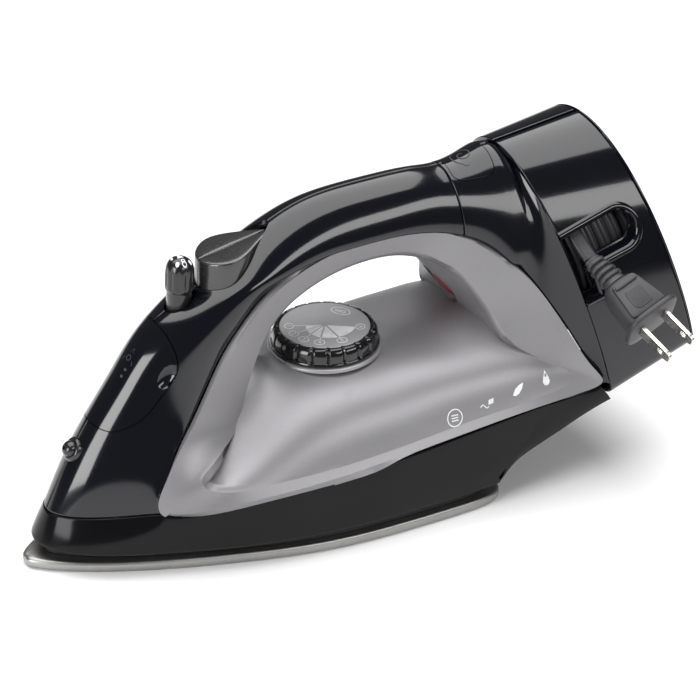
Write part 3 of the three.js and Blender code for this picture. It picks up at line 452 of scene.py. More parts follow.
# the body's surface
drum = {"tilt": 20, "top": (213, 147), "front": (51, 103, 117, 0), "back": (56, 91, 105, 7.8), "length": 41.9}
drumAngle = math.radians(drum["tilt"])
drumAlong = np.array([math.cos(drumAngle), 0, math.sin(drumAngle)])
drumDown = np.array([math.sin(drumAngle), 0, -math.cos(drumAngle)])
drumOrigin = np.array([drum["top"][0], 0, drum["top"][1]], float)


def inDrum(points):
    # from along, across, down to the iron's own axes
    points = np.asarray(points, float)
    return (drumOrigin + points[..., 0:1] * drumAlong + points[..., 1:2] * np.array([0, 1.0, 0])
            + points[..., 2:3] * drumDown)


def drumHalfWidth(rim, down):
    width, shoulder, height, _ = rim
    down = np.asarray(down, float)
    upper = width * np.sqrt(np.clip(1 - np.abs(1 - down / shoulder) ** 1.7, 0, None))
    corner = np.clip((down - shoulder) / (height - shoulder), 0, 1)
    lower = width * np.clip(1 - corner ** 4, 0, None) ** 0.25
    return np.where(down <= shoulder, upper, lower)


stations = [
    # inner edge (x, z), floor, crease, seam, side (x, y, z), then outer (x, z) or a place down the drum's rim
    ((99, 72.5), (86, 16, 54), (62, 33.6, 39.5), (45, 30, 27.5), (24.5, 17.5, 25.5), (9.5, 24)),
    ((97.3, 74.5), (88.5, 13, 59), (65, 31.5, 43), (49, 28, 42), (30, 17.5, 39.5), (16, 38.5)),
    ((96, 77.5), (90.5, 9.5, 66), (74, 26, 47.3), (55, 24.3, 52.5), (36, 16.6, 51.5), (22.5, 51)),
    ((95.4, 81), (93, 8, 75), (84, 17.6, 50.5), (62, 20.8, 60), (42.5, 15.5, 63), (30, 63)),
    ((96, 84.5), (94.5, 7.3, 81), (88, 14, 60), (70, 17.6, 71), (49.5, 14.2, 76), (38.5, 75.5)),
    ((97.7, 88), (96.7, 7.2, 86), (92.6, 12.8, 73), (78, 16, 85), (58, 14, 89), (47.5, 89)),
    ((100.7, 92), (100, 7.2, 91), (97, 12.4, 85), (86, 15.4, 95.5), (71.5, 14.6, 101), (60, 100.5)),
    ((105.5, 96.8), (105, 7.2, 96.2), (103, 12, 94.5), (95, 15, 105.5), (85, 15, 111.5), (77.5, 110)),
    ((113, 102), (112.7, 7.4, 101.8), (111.3, 12, 102.3), (107, 14.6, 113.3), (101, 15, 120), (96, 125.3)),
    ((124, 106.8), (124, 7.5, 107), (124, 12, 108.7), (122, 14.3, 119.3), (119, 15, 127), (116, 135.7)),
    ((136, 110), (136, 7.5, 110.2), (136, 12, 112.2), (135, 14.2, 121.8), (134, 15, 129), (133, 139.6)),
    ((149, 111.3), (149, 7.5, 111.6), (149, 12, 113.6), (149, 14.2, 123), (149, 15, 130), (150, 141)),
    ((161, 110.8), (161, 7.5, 111), (161, 12, 113), (163, 14.1, 122.7), (164.5, 15, 130.5), (166.5, 141.8)),
    ((171.5, 107.7), (171.5, 7.6, 108), (172, 12.2, 110), (176.5, 14.2, 120.8), (177, 15.2, 129.5),
     (177, 141.7)),
    ((179.5, 102.5), (180.5, 8, 103.8), (180.5, 13.5, 104.6), (188.5, 15.3, 116.6), (187.5, 16, 128),
     (186, 141.3)),
    ((186, 95.3), (187.2, 10, 96.7), (190.5, 17.3, 98.7), (199, 20.5, 111.6), (200, 19.5, 127.5),
     (199.5, 143.2)),
    ((192.3, 87.8), (193.6, 12, 89.2), (196.5, 22, 89.4), (208, 27.5, 104.7), (211, 25, 124), (213, 147)),
    ((198.3, 80.8), (199.2, 14.5, 82.2), (201.8, 27, 80), (216.5, 33.7, 95), (218.6, 31, 111), 18),
    ((202, 76.4), (202.5, 17.5, 76), (206, 33, 70.3), (224.5, 39, 83), (227.3, 40, 92.5), 46),
    ((200.5, 74.6), (204, 21.5, 72.2), (214.5, 38.3, 64.4), (232, 43.6, 70.5), (234.8, 45.5, 75.4), 70),
    ((193.5, 73), (200, 25.5, 69), (223.5, 43, 59), (239.5, 46.8, 58), (241.8, 48.6, 60.2), 90),
    ((184, 71.2), (193, 28.5, 67.6), (232.5, 46.5, 53), (246.5, 49, 47.65), (247.8, 50, 48), 106),
    ((172, 69.4), (181, 29, 66.4), (217.5, 47, 48.5), (219, 48.8, 44.9)),
    ((158, 68.9), (162, 28.5, 65.6), (184.5, 46.2, 45.3), (185, 48.7, 41.5)),
    ((144, 68), (145.5, 28, 63.8), (152.5, 46, 41.7), (152.5, 48.5, 38.25)),
    ((130, 67.1), (128.5, 27, 62.8), (121, 44.9, 38.6), (121, 47.5, 35.1)),
    ((117, 66.3), (112, 24, 60.5), (93, 41.4, 36.4), (93, 44.2, 32.3)),
    ((106.5, 67.4), (98, 20, 56.5), (73, 37.2, 35.3), (71, 39.4, 30.1)),
]


def outerPoint(place):
    if isinstance(place, tuple):
        return (place[0], 0, place[1])
    return tuple(inDrum([0, float(drumHalfWidth(drum["front"], place)), place]))


innerRail = splineRail([(s[0][0], 0, s[0][1]) for s in stations], True)
floorRail = splineRail([s[1] for s in stations], True)
creaseRail = splineRail([s[2] for s in stations], True)
seamRail = splineRail([s[3] for s in stations], True)
sideRail = splineRail([s[4] for s in stations[:22]], False)
outerRail = splineRail([outerPoint(s[5]) for s in stations[:22]], False)


def evenSpan(start, halfway, end, t):
    near, far = halfway - start, end - start
    bend = (16 * near - far) / 3
    made = start + bend * t ** 2 + (far - bend) * t ** 4
    rise = (8 * near - far) / 3
    made[..., 1] = (start + rise * t + (far - rise) * t ** 3)[..., 1]
    return made


def openSpan(start, halfway, end, t):
    rise = 4 * (halfway - start) - (end - start)
    return start + rise * t + (end - start - rise) * t ** 2


def skin(u, v):
    # u runs round the finger opening, v from its edge (0) by crease (1) and seam (2) to the ridge (4)
    u, v = np.broadcast_arrays(np.asarray(u, float), np.asarray(v, float))
    t = v[..., None]
    crease, seam = creaseRail(u), seamRail(u)
    low = evenSpan(innerRail(u), floorRail(u), crease, t)
    middle = crease + (seam - crease) * (t - 1)
    if (v <= 2).all():
        return np.where(t <= 1, low, middle)
    ridge = outerRail(np.minimum(u, 21)).copy()
    ridge[..., 1] = np.maximum(ridge[..., 1], 0)
    side = sideRail(np.minimum(u, 21))
    back = (4 - t) / 2
    blend = np.minimum(1, ridge[..., 1:2] / 12)
    high = evenSpan(ridge, side, seam, back) * (1 - blend) + openSpan(ridge, side, seam, back) * blend
    return np.where(t <= 1, low, np.where(t <= 2, middle, high))


def noseSkin(u, w):
    # the same surface across both halves: w is 0 on the ridge and 2 or -2 at the seams
    u, w = np.broadcast_arrays(np.asarray(u, float), np.asarray(w, float))
    made = skin(u, 4 - np.abs(w))
    made[..., 1] *= np.where(w < 0, -1, 1)
    return made


def normals(surface, us, vs, small=0.01):
    along = surface(us + small, vs) - surface(us - small, vs)
    across = surface(us, vs + small) - surface(us, vs - small)
    made = np.cross(along, across)
    return made / np.maximum(np.linalg.norm(made, axis=-1, keepdims=True), 1e-9)


def edgeRows(low, high, count, fine):
    # rows from low to high with extra ones close to both ends
    extra = np.array([0.12, 0.3, 0.55, 0.85]) * fine
    return np.concatenate([[low], low + extra, np.linspace(low + 1.25 * fine, high - 1.25 * fine, count),
                           high - extra[::-1], [high]])


def rollEdges(points, way, radius, edges):
    # sinks the surface along way close to the named edges, so that they are rounded
    def fromEdge(axis, end):
        line = points if not end else np.flip(points, axis)
        gaps = np.linalg.norm(np.diff(line, axis=axis), axis=-1)
        start = np.zeros_like(np.take(gaps, [0], axis))
        far = np.concatenate([start, np.cumsum(gaps, axis)], axis)
        return far if not end else np.flip(far, axis)

    sides = {"u0": (0, False), "u1": (0, True), "v0": (1, False), "v1": (1, True)}
    drop = np.zeros(points.shape[:2])
    for edge in edges:
        short = np.clip(radius - fromEdge(*sides[edge]), 0, radius)
        drop = np.maximum(drop, radius - np.sqrt(np.clip(radius ** 2 - short ** 2, 0, None)))
    return points + way * drop[..., None]


def shell(name, surface, us, vs, material, thickness=2.2, radius=0.5, edges=("u0", "u1", "v0", "v1"),
          closed=False, mirror=False, normalAt=None):
    # a shell with rounded edges under surface(u, v)
    gridU, gridV = np.meshgrid(us, vs, indexing="ij")
    points = surface(gridU, gridV)
    way = normals(surface, gridU, gridV if normalAt is None else normalAt(gridV))
    middle = points.reshape(-1, 3).mean(0)
    inwards = ((middle - points) * way).sum(-1).mean() > 0
    way = way if inwards else -way
    outside = rollEdges(points, way, radius, edges)
    inside = points + way * thickness
    if mirror:
        outside = outside * [1, -1, 1]
        inside = inside * [1, -1, 1]
    rows, columns = gridU.shape
    size = rows * columns
    both = np.vstack([outside.reshape(-1, 3), inside.reshape(-1, 3)])
    faces = gridFaces(rows, columns, closedRows=closed)
    faces += [tuple(reversed(face)) for face in gridFaces(rows, columns, closedRows=closed, start=size)]
    for j in (0, columns - 1):
        for i in range(rows if closed else rows - 1):
            a, b = i * columns + j, ((i + 1) % rows) * columns + j
            faces.append((b, a, size + a, size + b) if j == 0 else (a, b, size + b, size + a))
    if not closed:
        for i in (0, rows - 1):
            for j in range(columns - 1):
                a, b = i * columns + j, i * columns + j + 1
                faces.append((a, b, size + b, size + a) if i == 0 else (b, a, size + a, size + b))
    return makeMesh(name, both, faces, material)


# loose end of the cord
cordFacts = {"width": 6.4, "thickness": 3.2, "free": 0.052}
cordRun = [(9.1, 0, 20.9), (9.1, -10, 22.2), (9.1, -19, 25.8), (9.1, -25.6, 30.4), (9.1, -31.5, 35.6),
           (8.6, -38, 41.6), (8.2, -43.6, 45.7)]


def throughPoints(points, count):
    # centripetal curve through the points
    p = [Vector(q) for q in points]
    p = [p[0] * 2 - p[1]] + p + [p[-1] * 2 - p[-2]]
    made = []
    total = len(points) - 1
    for n in range(count + 1):
        place = min(n * total / count, total - 1e-9)
        i = int(place)
        t = place - i
        p0, p1, p2, p3 = p[i:i + 4]
        d0, d1, d2 = (max((a - b).length ** 0.5, 1e-6) for a, b in ((p1, p0), (p2, p1), (p3, p2)))
        m1 = ((p1 - p0) / d0 - (p2 - p0) / (d0 + d1) + (p2 - p1) / d1) * d1
        m2 = ((p2 - p1) / d1 - (p3 - p1) / (d1 + d2) + (p3 - p2) / d2) * d1
        made.append(tuple((2 * t ** 3 - 3 * t ** 2 + 1) * p1 + (t ** 3 - 2 * t ** 2 + t) * m1
                          + (-2 * t ** 3 + 3 * t ** 2) * p2 + (t ** 3 - t ** 2) * m2))
    return np.array(made)


def flatTube(name, path, width, thickness, wide, material, sides=28):
    # a flat cord with a shallow groove down each face, wide along the given direction
    path = np.asarray(path, float)
    heading = np.gradient(path, axis=0)
    heading /= np.linalg.norm(heading, axis=1, keepdims=True)
    wide = np.asarray(wide, float)
    across = wide - heading * (heading @ wide)[:, None]
    across /= np.linalg.norm(across, axis=1, keepdims=True)
    up = np.cross(heading, across)
    rings = []
    for k in range(sides):
        angle = 2 * math.pi * k / sides
        x = width / 2 * math.copysign(abs(math.cos(angle)) ** 0.75, math.cos(angle))
        groove = 1 - 0.2 * math.exp(-(x / (0.11 * width)) ** 2)
        y = thickness / 2 * math.copysign(abs(math.sin(angle)) ** 0.8, math.sin(angle)) * groove
        rings.append(path + across * x + up * y)
    points = np.stack(rings, 1).reshape(-1, 3)
    return makeMesh(name, points, cappedFaces(len(path), sides), material)


cordPath = inDrum(throughPoints(cordRun, 48))
freeCord = flatTube("flatCord", cordPath, cordFacts["width"], cordFacts["thickness"], drumAlong, cordRubber)
finishPiece(freeCord, "case", "rubber", "cord_lead")
cordLength = float(np.linalg.norm(np.diff(toFrame(cordPath), axis=0), axis=1).sum())
print(f"cord laid, {cordLength:.4f} m")


# strain relief and plug
plug = {"dip": 27, "turn": 4, "start": (8.2, -44, 46)}
plugDip, plugTurn = math.radians(plug["dip"]), math.radians(plug["turn"])
plugHead = np.array([0, -math.cos(plugDip), math.sin(plugDip)])  # along, across, down
plugUp = np.array([0, -math.sin(plugDip), -math.cos(plugDip)])
plugWide = np.array([1.0, 0, 0])
turnedWide = plugWide * math.cos(plugTurn) - plugHead * math.sin(plugTurn)
turnedHead = plugHead * math.cos(plugTurn) + plugWide * math.sin(plugTurn)


def onPlug(points):
    points = np.asarray(points, float).reshape(-1, 3)
    return inDrum(np.array(plug["start"]) + points[:, 0:1] * turnedWide + points[:, 1:2] * plugUp
                  + points[:, 2:3] * turnedHead)


def roundedRing(width, height, power, count=56):
    angles = np.linspace(0, 2 * math.pi, count, endpoint=False)
    c, s = np.cos(angles), np.sin(angles)
    return np.column_stack([width / 2 * np.sign(c) * np.abs(c) ** (2 / power),
                            height / 2 * np.sign(s) * np.abs(s) ** (2 / power)])


def lofted(name, sections, material, count=56):
    # sections of (z, width, height, squareness, shift up)
    rings = []
    for z, width, height, power, shift in sections:
        ring = roundedRing(width, height, power, count)
        rings.append(np.column_stack([ring[:, 0], ring[:, 1] + shift, np.full(count, z)]))
    points = onPlug(np.vstack(rings))
    return makeMesh(name, points, cappedFaces(len(sections), count), material, 50)


reliefSections = [(0, 6.6, 4.2, 2.4, 0), (0.3, 7.3, 4.9, 2.4, 0)]
for k, (z, size) in enumerate(((1.6, 8.8), (4.6, 9.6), (7.6, 10.4), (10.6, 11.2))):
    reliefSections += [(z, size - 1.7, size - 4.2, 2.4, 0), (z + 0.25, size - 0.3, size - 2.7, 2.6, 0),
                       (z + 0.6, size, size - 2.4, 2.6, 0), (z + 1.4, size, size - 2.4, 2.6, 0),
                       (z + 1.75, size - 0.3, size - 2.7, 2.6, 0), (z + 2.0, size - 1.9, size - 4.4, 2.4, 0)]
reliefSections += [(14.2, 10.2, 7.6, 2.4, 0), (15.0, 10.6, 8, 2.4, 0)]
strainRelief = lofted("strainRelief", reliefSections, plugRubber)
finishPiece(strainRelief, "case", "rubber", "strain_relief")

bodySections = [(15.3, 11, 8, 2.6, 0), (15.7, 13.4, 9.2, 3, 0.1), (17, 15.2, 10.2, 3.6, 0.1),
                (19, 17.2, 11.4, 4, 0.2), (24, 18.6, 12.4, 4.4, 0.2), (30, 19.8, 12.9, 4.6, 0.2),
                (33.6, 20.4, 13, 4.6, 0.2), (34.4, 20.6, 13, 4.6, 0.2), (34.9, 22.4, 15, 4.2, 0),
                (35.2, 25.0, 20.2, 3.6, 0), (35.6, 25.6, 20.8, 3.6, 0), (37.0, 25.6, 20.8, 3.6, 0),
                (37.4, 25.2, 20.4, 3.6, 0), (37.6, 24.4, 19.6, 3.6, 0)]
plugBody = lofted("plugBody", bodySections, plugRubber, 88)
finishPiece(plugBody, "case", "rubber", "plug_body")


def padOnPlug(name, corners, low, high, slot, material):
    # a raised plate with rounded corners, drawn in width and length on the plug's upper face
    outline = smoothOutline(corners, 48)
    middle = outline.mean(0)
    rings = []
    for inset, level in ((0, low), (0, high - 0.35), (0.12, high - 0.1), (0.45, high)):
        reach = np.linalg.norm(outline - middle, axis=1, keepdims=True)
        ring = middle + (outline - middle) * (1 - inset / reach)
        rings.append(np.column_stack([ring[:, 0], np.full(48, level), ring[:, 1]]))
    faces = gridFaces(4, 48, closedColumns=True) + [[3 * 48 + k for k in range(48)]]
    return finishPiece(makeMesh(name, onPlug(np.vstack(rings)), faces, material), "case", slot)


def squareCorners(w0, w1, z0, z1, soft=1.6):
    return [(-w0 + soft, z0), (0, z0), (w0 - soft, z0), (w0, z0 + soft), ((w0 + w1) / 2, (z0 + z1) / 2),
            (w1, z1 - soft), (w1 - soft, z1), (0, z1), (-w1 + soft, z1), (-w1, z1 - soft),
            (-(w0 + w1) / 2, (z0 + z1) / 2), (-w0, z0 + soft)]


padOnPlug("plugPlate", squareCorners(6.2, 8.4, 17.4, 34.2), 5.6, 7.4, "rubber", plugRubber)
padOnPlug("plugRidge", squareCorners(5.4, 5.8, 18.2, 20.6, 0.8), 7.0, 8.2, "rubber", plugRubber)
padOnPlug("plugPadRim", squareCorners(4.3, 4.7, 22.6, 32.2), 7.0, 7.75, "rubber", plugRubber)
knurls = bmesh.new()
for column in range(11):
    for row in range(12):
        centre = onPlug([(-3.5 + 0.7 * column, 7.75, 23.7 + 0.67 * row)])[0]
        bmesh.ops.create_cone(knurls, cap_ends=True, segments=4, radius1=0.00032, radius2=0.00014,
                              depth=0.0003,
                              matrix=Matrix.Translation(toFrame([centre])[0]))
finishPiece(pieceFrom("plugKnurls", knurls, plugRubber), "case", "rubber")

for name, node, x in (("plugBladeFront", "plug_blade_1", -6.35), ("plugBladeBack", "plug_blade_2", 6.35)):
    outline = np.array([(-3.15, 37.9), (3.15, 37.9), (3.15, 52.2), (2.8, 53.6), (1.9, 54.6), (-1.9, 54.6),
                        (-2.8, 53.6), (-3.15, 52.2)])
    rings = []
    for inset, level in ((0.18, -0.75), (0, -0.57), (0, 0.57), (0.18, 0.75)):
        middle = outline.mean(0)
        ring = outline - np.sign(outline - middle) * inset * [1, 0.6]
        rings.append(np.column_stack([np.full(len(ring), x + level), ring]))
    faces = cappedFaces(len(rings), len(outline))
    blade = makeMesh(name, onPlug(np.vstack(rings)), faces, bladeMetal, 60)
    ring = discOutline(1.6, 28, (0, 49.4))
    hole = [onPlug(np.column_stack([np.full(len(ring), x + side), ring])) for side in (-2, 2)]
    carve(blade, "DIFFERENCE", barTool(hole))
    finishPiece(blade, "case", "brass", node)
tuple(toFrame([cordPath[0]])[0])
[tuple(p) for p in toFrame(cordPath)]
print("plug made")


# nose, handle and collar shells
bodyShape = {"wall": 2.2, "seamEdge": 2.008, "ridgeEdge": 3.99, "handleEnd": 14, "roll": 0.55}


def seamRows(v):
    return np.where(np.abs(np.abs(v) - 2) < 0.1, np.sign(v) * 2, v)


def growAbout(outline, centre, amount):
    outline = np.asarray(outline, float)
    reach = np.linalg.norm(outline - centre, axis=1, keepdims=True)
    return centre + (outline - centre) * (1 + amount / reach)


doorSide = [(27, 61), (35.5, 60.6), (44, 64.6), (50.2, 71.5), (56.6, 79), (59, 84.5), (58, 92), (54, 101),
            (40, 112), (8, 82)]


def doorTool(grow):
    return sideTool(growAbout(smoothOutline(doorSide, 90), (42, 82), grow), 60)


def dropOutline(grow, count=80):
    half = [(75.5 - grow, 0), (76.8 - grow * 0.8, 5.5 + grow * 0.5), (81, 10.3 + grow * 0.8),
            (86.5, 12 + grow),
            (93, 9.8 + grow), (100, 5 + grow * 0.9), (106.5 + grow * 1.5, 0)]
    return smoothOutline(half + [(x, -y) for x, y in half[-2:0:-1]], count)


nozzlePlace = tilted(-math.radians(63), (21.3, 0, 48.5))
rewindPlace = tilted(-math.radians(12), (199, 0, 143.2))


def rewindOutline(grow, count=64):
    half = [(-10.6 - grow, 0), (-10.9 - grow, 5), (-10.8 - grow, 9.4 + grow), (-3, 11.4 + grow),
            (5 + grow, 13.2 + grow), (7.4 + grow, 7), (8.2 + grow, 0)]
    return smoothOutline(half + [(x, -y) for x, y in half[-2:0:-1]], count)


handleU = edgeRows(0.004, bodyShape["handleEnd"] - 0.012, 150, 0.04)
bodyV = edgeRows(bodyShape["seamEdge"], bodyShape["ridgeEdge"], 34, 0.05)
for side, mirror in (("right", False), ("left", True)):
    handle = shell("handleShell_" + side, skin, handleU, bodyV, glossBlack, bodyShape["wall"],
                   bodyShape["roll"],
                   ("u0", "u1", "v0", "v1"), mirror=mirror, normalAt=seamRows)
    carve(handle, "DIFFERENCE", doorTool(0.4), prismTool(dropOutline(0.45), 101, 160),
          prismTool(discOutline(6.1, 40, (67.5, 0)), 88, 140),
          prismTool(discOutline(5.3), -9, 12, nozzlePlace))
    finishPiece(handle, "case", "gloss_black", "handle_shell_" + side)
collarU = edgeRows(bodyShape["handleEnd"] + 0.012, 20.985, 76, 0.04)
for side, mirror in (("right", False), ("left", True)):
    collar = shell("collarShell_" + side, skin, collarU, bodyV, glossBlack, bodyShape["wall"],
                   bodyShape["roll"],
                   ("u0", "v0", "v1"), mirror=mirror, normalAt=seamRows)
    carve(collar, "DIFFERENCE", prismTool(rewindOutline(0.3), -18, 12, rewindPlace))
    finishPiece(collar, "case", "gloss_black", "collar_" + side)
print("handle and collar made")

# fill door and rewind button
doorPatch = shell("fillDoor", noseSkin, np.linspace(1, 7.5, 90), np.linspace(-2, 2, 70), glossBlack, 2.2, 0,
                  ())
carve(doorPatch, "INTERSECT", doorTool(0))
notch = {"place": (53.6, 17.9, 81.6), "radius": 4.6, "stretch": 1.5, "lean": 60, "steps": 17, "sides": 40}


def notchScoop(side):
    # a stretched ball at the door's edge, whose cut is a finger notch
    turn, place = tilted(-math.radians(notch["lean"]), notch["place"])
    angles = np.radians(np.linspace(-80, 80, notch["steps"]))
    ball = [(0, -1)] + [(math.cos(a), math.sin(a)) for a in angles] + [(0, 1)]
    profile = [(notch["radius"] * r, notch["radius"] * z) for r, z in ball]
    scoop = turnedPiece("scoop", profile, glossBlack, notch["sides"])
    origin = toFrame((0, 0, 0))[0]
    for vertex in scoop.data.vertices:
        local = (np.array(vertex.co) - origin) * 1000 * [notch["stretch"], 1, 1]
        vertex.co = toFrame((local @ turn.T + place) * [1, side, 1])[0]
    soften(scoop)
    return scoop


carve(doorPatch, "DIFFERENCE", notchScoop(1), notchScoop(-1))
finishPiece(doorPatch, "door", "gloss_black", "fill_door")
rewindPatch = shell("rewindButton", noseSkin, np.linspace(13.2, 17.2, 60), np.linspace(-1.5, 1.5, 60),
                    glossBlack,
                    3.6, 0, ())
carve(rewindPatch, "INTERSECT", prismTool(rewindOutline(0), -18, 12, rewindPlace))
finishPiece(rewindPatch, "rewind_pusher", "gloss_black", "rewind_button")
print("door and rewind button made")

# grey saddle with its lens
lensPlace = tilted(-math.radians(180 - 51.3), (194, 0, 87))


def leaf(grow, count=60):
    half = [(13.5 + grow, 0), (7, 5.2 + grow), (-2, 7.6 + grow), (-9.5, 4.6 + grow), (-13 - grow, 0)]
    return smoothOutline(half + [(x, -y) for x, y in half[-2:0:-1]], count)


def fullSkin(u, v):
    u, v = np.broadcast_arrays(np.asarray(u, float), np.asarray(v, float))
    made = skin(u, np.abs(v))
    made[..., 1] *= np.where(v < 0, -1, 1)
    return made


halfV = np.concatenate([np.linspace(0, 0.94, 22), [0.975, 0.99, 1.01, 1.03, 1.08], np.linspace(1.16, 1.9, 12),
                        [1.93, 1.96, 1.98, 1.992]])
saddleV = np.concatenate([-halfV[:0:-1], halfV])
saddle = shell("saddleShell", fullSkin, np.linspace(0, 28, 308, endpoint=False), saddleV, satinGrey, 2.2, 0.5,
               ("v0", "v1"), closed=True, normalAt=seamRows)
carve(saddle, "DIFFERENCE", prismTool(leaf(0.3), -7, 3.5, lensPlace))
finishPiece(saddle, "case", "grey_shell", "saddle_shell")
lensDome = [(0.4, -3.2), (1, -3.0), (1, -0.3), (0.985, 0.1), (0.94, 0.7), (0.84, 1.35), (0.68, 1.95),
            (0.48, 2.35),
            (0.25, 2.6), (0.08, 2.68)]
leafLine = leaf(0, 90)
leafCount = len(leafLine)
lensRings = [np.column_stack([leafLine * scale, np.full(leafCount, z)]) for scale, z in lensDome]
lensFaces = cappedFaces(len(lensDome), leafCount)
lens = makeMesh("indicatorLens", placed(np.vstack(lensRings), lensPlace), lensFaces, redClear)
finishPiece(lens, "case", "red_lens", "indicator_lens")
print("saddle made")

# lower skirt
footHalf = [(2.6, 0), (19, 20.5), (44, 31.6), (70, 40.4), (92, 46), (120.5, 50), (152, 50.8), (183, 50.2),
            (196.5, 49.2)]
footRail = splineRail([(x, -y) for x, y in footHalf[:0:-1]] + footHalf, False)


def skirtSkin(s, v):
    s, v = np.broadcast_arrays(np.asarray(s, float), np.asarray(v, float))
    along = np.abs(s)
    foot = footRail(8 + np.minimum(along, 8))
    foot = np.concatenate([foot, np.full(foot.shape[:-1] + (1,), 11.0)], -1)
    up = np.maximum(along - 8, 0)[..., None]
    rise = up[..., 0]
    foot = foot + (np.array([252.6, 50.2, 39.2]) - foot) * up
    foot[..., 2] += 14 * rise * (1 - rise) + 60 * rise * (1 - rise) ** 6
    top = np.where(along[..., None] <= 2, skin(np.zeros_like(along), 4 - np.minimum(along, 2)),
                   seamRail(28 - np.maximum(along - 2, 0)))
    t = v[..., None]
    made = top + (foot - top) * t
    made[..., 1] += 3.6 * v * (1 - v) * np.minimum(1, along)
    made[..., 1] *= np.where(s < 0, -1, 1)
    return made


skirtV = np.concatenate([[0.012, 0.02, 0.035, 0.06], np.linspace(0.1, 0.92, 16), [0.95, 0.975, 0.99, 1.0]])
skirt = shell("lowerSkirt", skirtSkin, np.linspace(-8.985, 8.985, 300), skirtV, skirtBlack, 2.2, 0.6,
              ("v0", "v1"))
finishPiece(skirt, "case", "gloss_black", "lower_skirt")
print("skirt made")


# sole
soleHalf = [(0, 0), (1, 4.2), (12, 12.5), (28, 21), (46, 28.4), (64, 34.6), (81, 39.6), (97, 43.8),
            (118, 47.6),
            (142, 49.2), (168, 49.2), (189, 48.6), (200, 45), (204, 37)]


def soleOutline(scale, count=150):
    edge = splineRail(soleHalf, False)(np.linspace(0, len(soleHalf) - 1, count))
    edge[0, 1] = 0
    edge = np.column_stack([118 + (edge[:, 0] - 118) * scale, edge[:, 1] * scale])
    return np.vstack([edge, edge[:0:-1] * [1, -1]])


soleRings = [(0.955, 0), (0.975, 0.15), (0.988, 0.6), (0.997, 1.3), (1, 2.2), (1, 3.4), (0.998, 4.0),
             (0.994, 4.5), (0.988, 4.8), (0.98, 5.0)]
soleCount = len(soleOutline(1))
solePoints = [np.column_stack([soleOutline(scale), np.full(soleCount, z)]) for scale, z in soleRings]
sole = makeMesh("heatedSole", np.vstack(solePoints), cappedFaces(len(soleRings), soleCount), soleMetal, 50)
steamHoles = [(30, 0)]
for i in range(8):
    x, y = 44 + i * 14, 7 + 20 * math.sin(math.pi / 2 * min(1, i / 5))
    steamHoles += [(x, y), (x, -y)]
holes = bmesh.new()
for x, y in steamHoles:
    bmesh.ops.create_cone(holes, cap_ends=True, segments=20, radius1=0.0023, radius2=0.0015, depth=0.0014,
                          matrix=Matrix.Translation(((x - middleX) / 1000, y / 1000, 0.0004)))
    bmesh.ops.create_cone(holes, cap_ends=True, segments=20, radius1=0.0015, radius2=0.0015, depth=0.007,
                          matrix=Matrix.Translation(((x - middleX) / 1000, y / 1000, 0.0041)))
carve(sole, "DIFFERENCE", pieceFrom("holes", holes))
finishPiece(sole, "case", "sole_metal", "soleplate")
print("sole made")


# drum
def drumSkin(along, around):
    along, around = np.broadcast_arrays(np.asarray(along, float), np.asarray(around, float))

    def rimPoint(rim):
        width, shoulder, height, fall = rim
        down = shoulder * (around / 0.7) ** 2
        upper = np.sign(around) * drumHalfWidth(rim, down)
        turn = (around - 0.7) / 0.3 * math.pi / 2
        lower = width * np.sign(np.cos(turn)) * np.sqrt(np.abs(np.cos(turn)))
        deep = shoulder + np.sqrt(np.clip(np.sin(turn), 0, None)) * (height - shoulder)
        high = around <= 0.7
        return np.stack([np.where(high, upper, lower), np.where(high, down, deep) + fall], -1)

    front, back = rimPoint(drum["front"]), rimPoint(drum["back"])
    flat = front + (back - front) * along[..., None]
    return inDrum(np.concatenate([along[..., None] * drum["length"], flat], -1))


slotShape = {"top": 33.2, "bottom": 51.4, "end": 26.4, "notch": 9, "notchBottom": 64, "corner": 2.2,
             "front": 0.3, "cut": (-18, -70), "cutFront": -5}


def slotLine(grow, count=26):
    # the slot's edge in (along, down), from the front rim over the top, round the end and back to the notch
    middle = (slotShape["top"] + slotShape["bottom"]) / 2
    radius = (slotShape["bottom"] - slotShape["top"]) / 2 + grow
    arc = [(slotShape["end"] + radius * math.sin(a), middle - radius * math.cos(a))
           for a in np.linspace(0, math.pi, count)]
    bend = slotShape["corner"]
    straight = [(x, middle - radius) for x in np.linspace(slotShape["front"], slotShape["end"], 12)[:-1]]
    back = [(x, middle + radius) for x in np.linspace(slotShape["end"], slotShape["notch"] + 2.4, 9)[1:]]
    corner = slotShape["notch"] + grow
    turn = [(corner + bend - bend * math.sin(a), middle + radius + bend - bend * math.cos(a))
            for a in np.linspace(0, math.pi / 2, 6)]
    down = [(corner, d) for d in np.linspace(middle + radius + 3, slotShape["notchBottom"] + grow, 7)]
    low = [(x, slotShape["notchBottom"] + grow) for x in np.linspace(corner, slotShape["front"], 5)[1:]]
    return np.array(straight + arc + back + turn + down + low)


drumU = edgeRows(0.006, 0.998, 40, 0.02)
drumV = np.concatenate([[0.0095, 0.012, 0.018, 0.03], np.linspace(0.05, 0.7, 60),
                        np.linspace(0.71, 0.985, 34)])
for side, mirror in (("right", False), ("left", True)):
    housing = shell("rearHousing_" + side, drumSkin, drumU, drumV, glossBlack, 2.2, 0.6, ("u0", "u1", "v0"),
                    mirror=mirror)
    if mirror:
        line = slotLine(0)
        beyond = [(slotShape["cutFront"], slotShape[key]) for key in ("notchBottom", "top")]
        outline = np.vstack([line, beyond])
        ends = [np.column_stack([outline[:, 0], np.full(len(outline), y),
                                 outline[:, 1]]) for y in slotShape["cut"]]
        carve(housing, "DIFFERENCE", barTool([inDrum(end) for end in ends]))
    finishPiece(housing, "case", "gloss_black", "rear_housing_" + side)


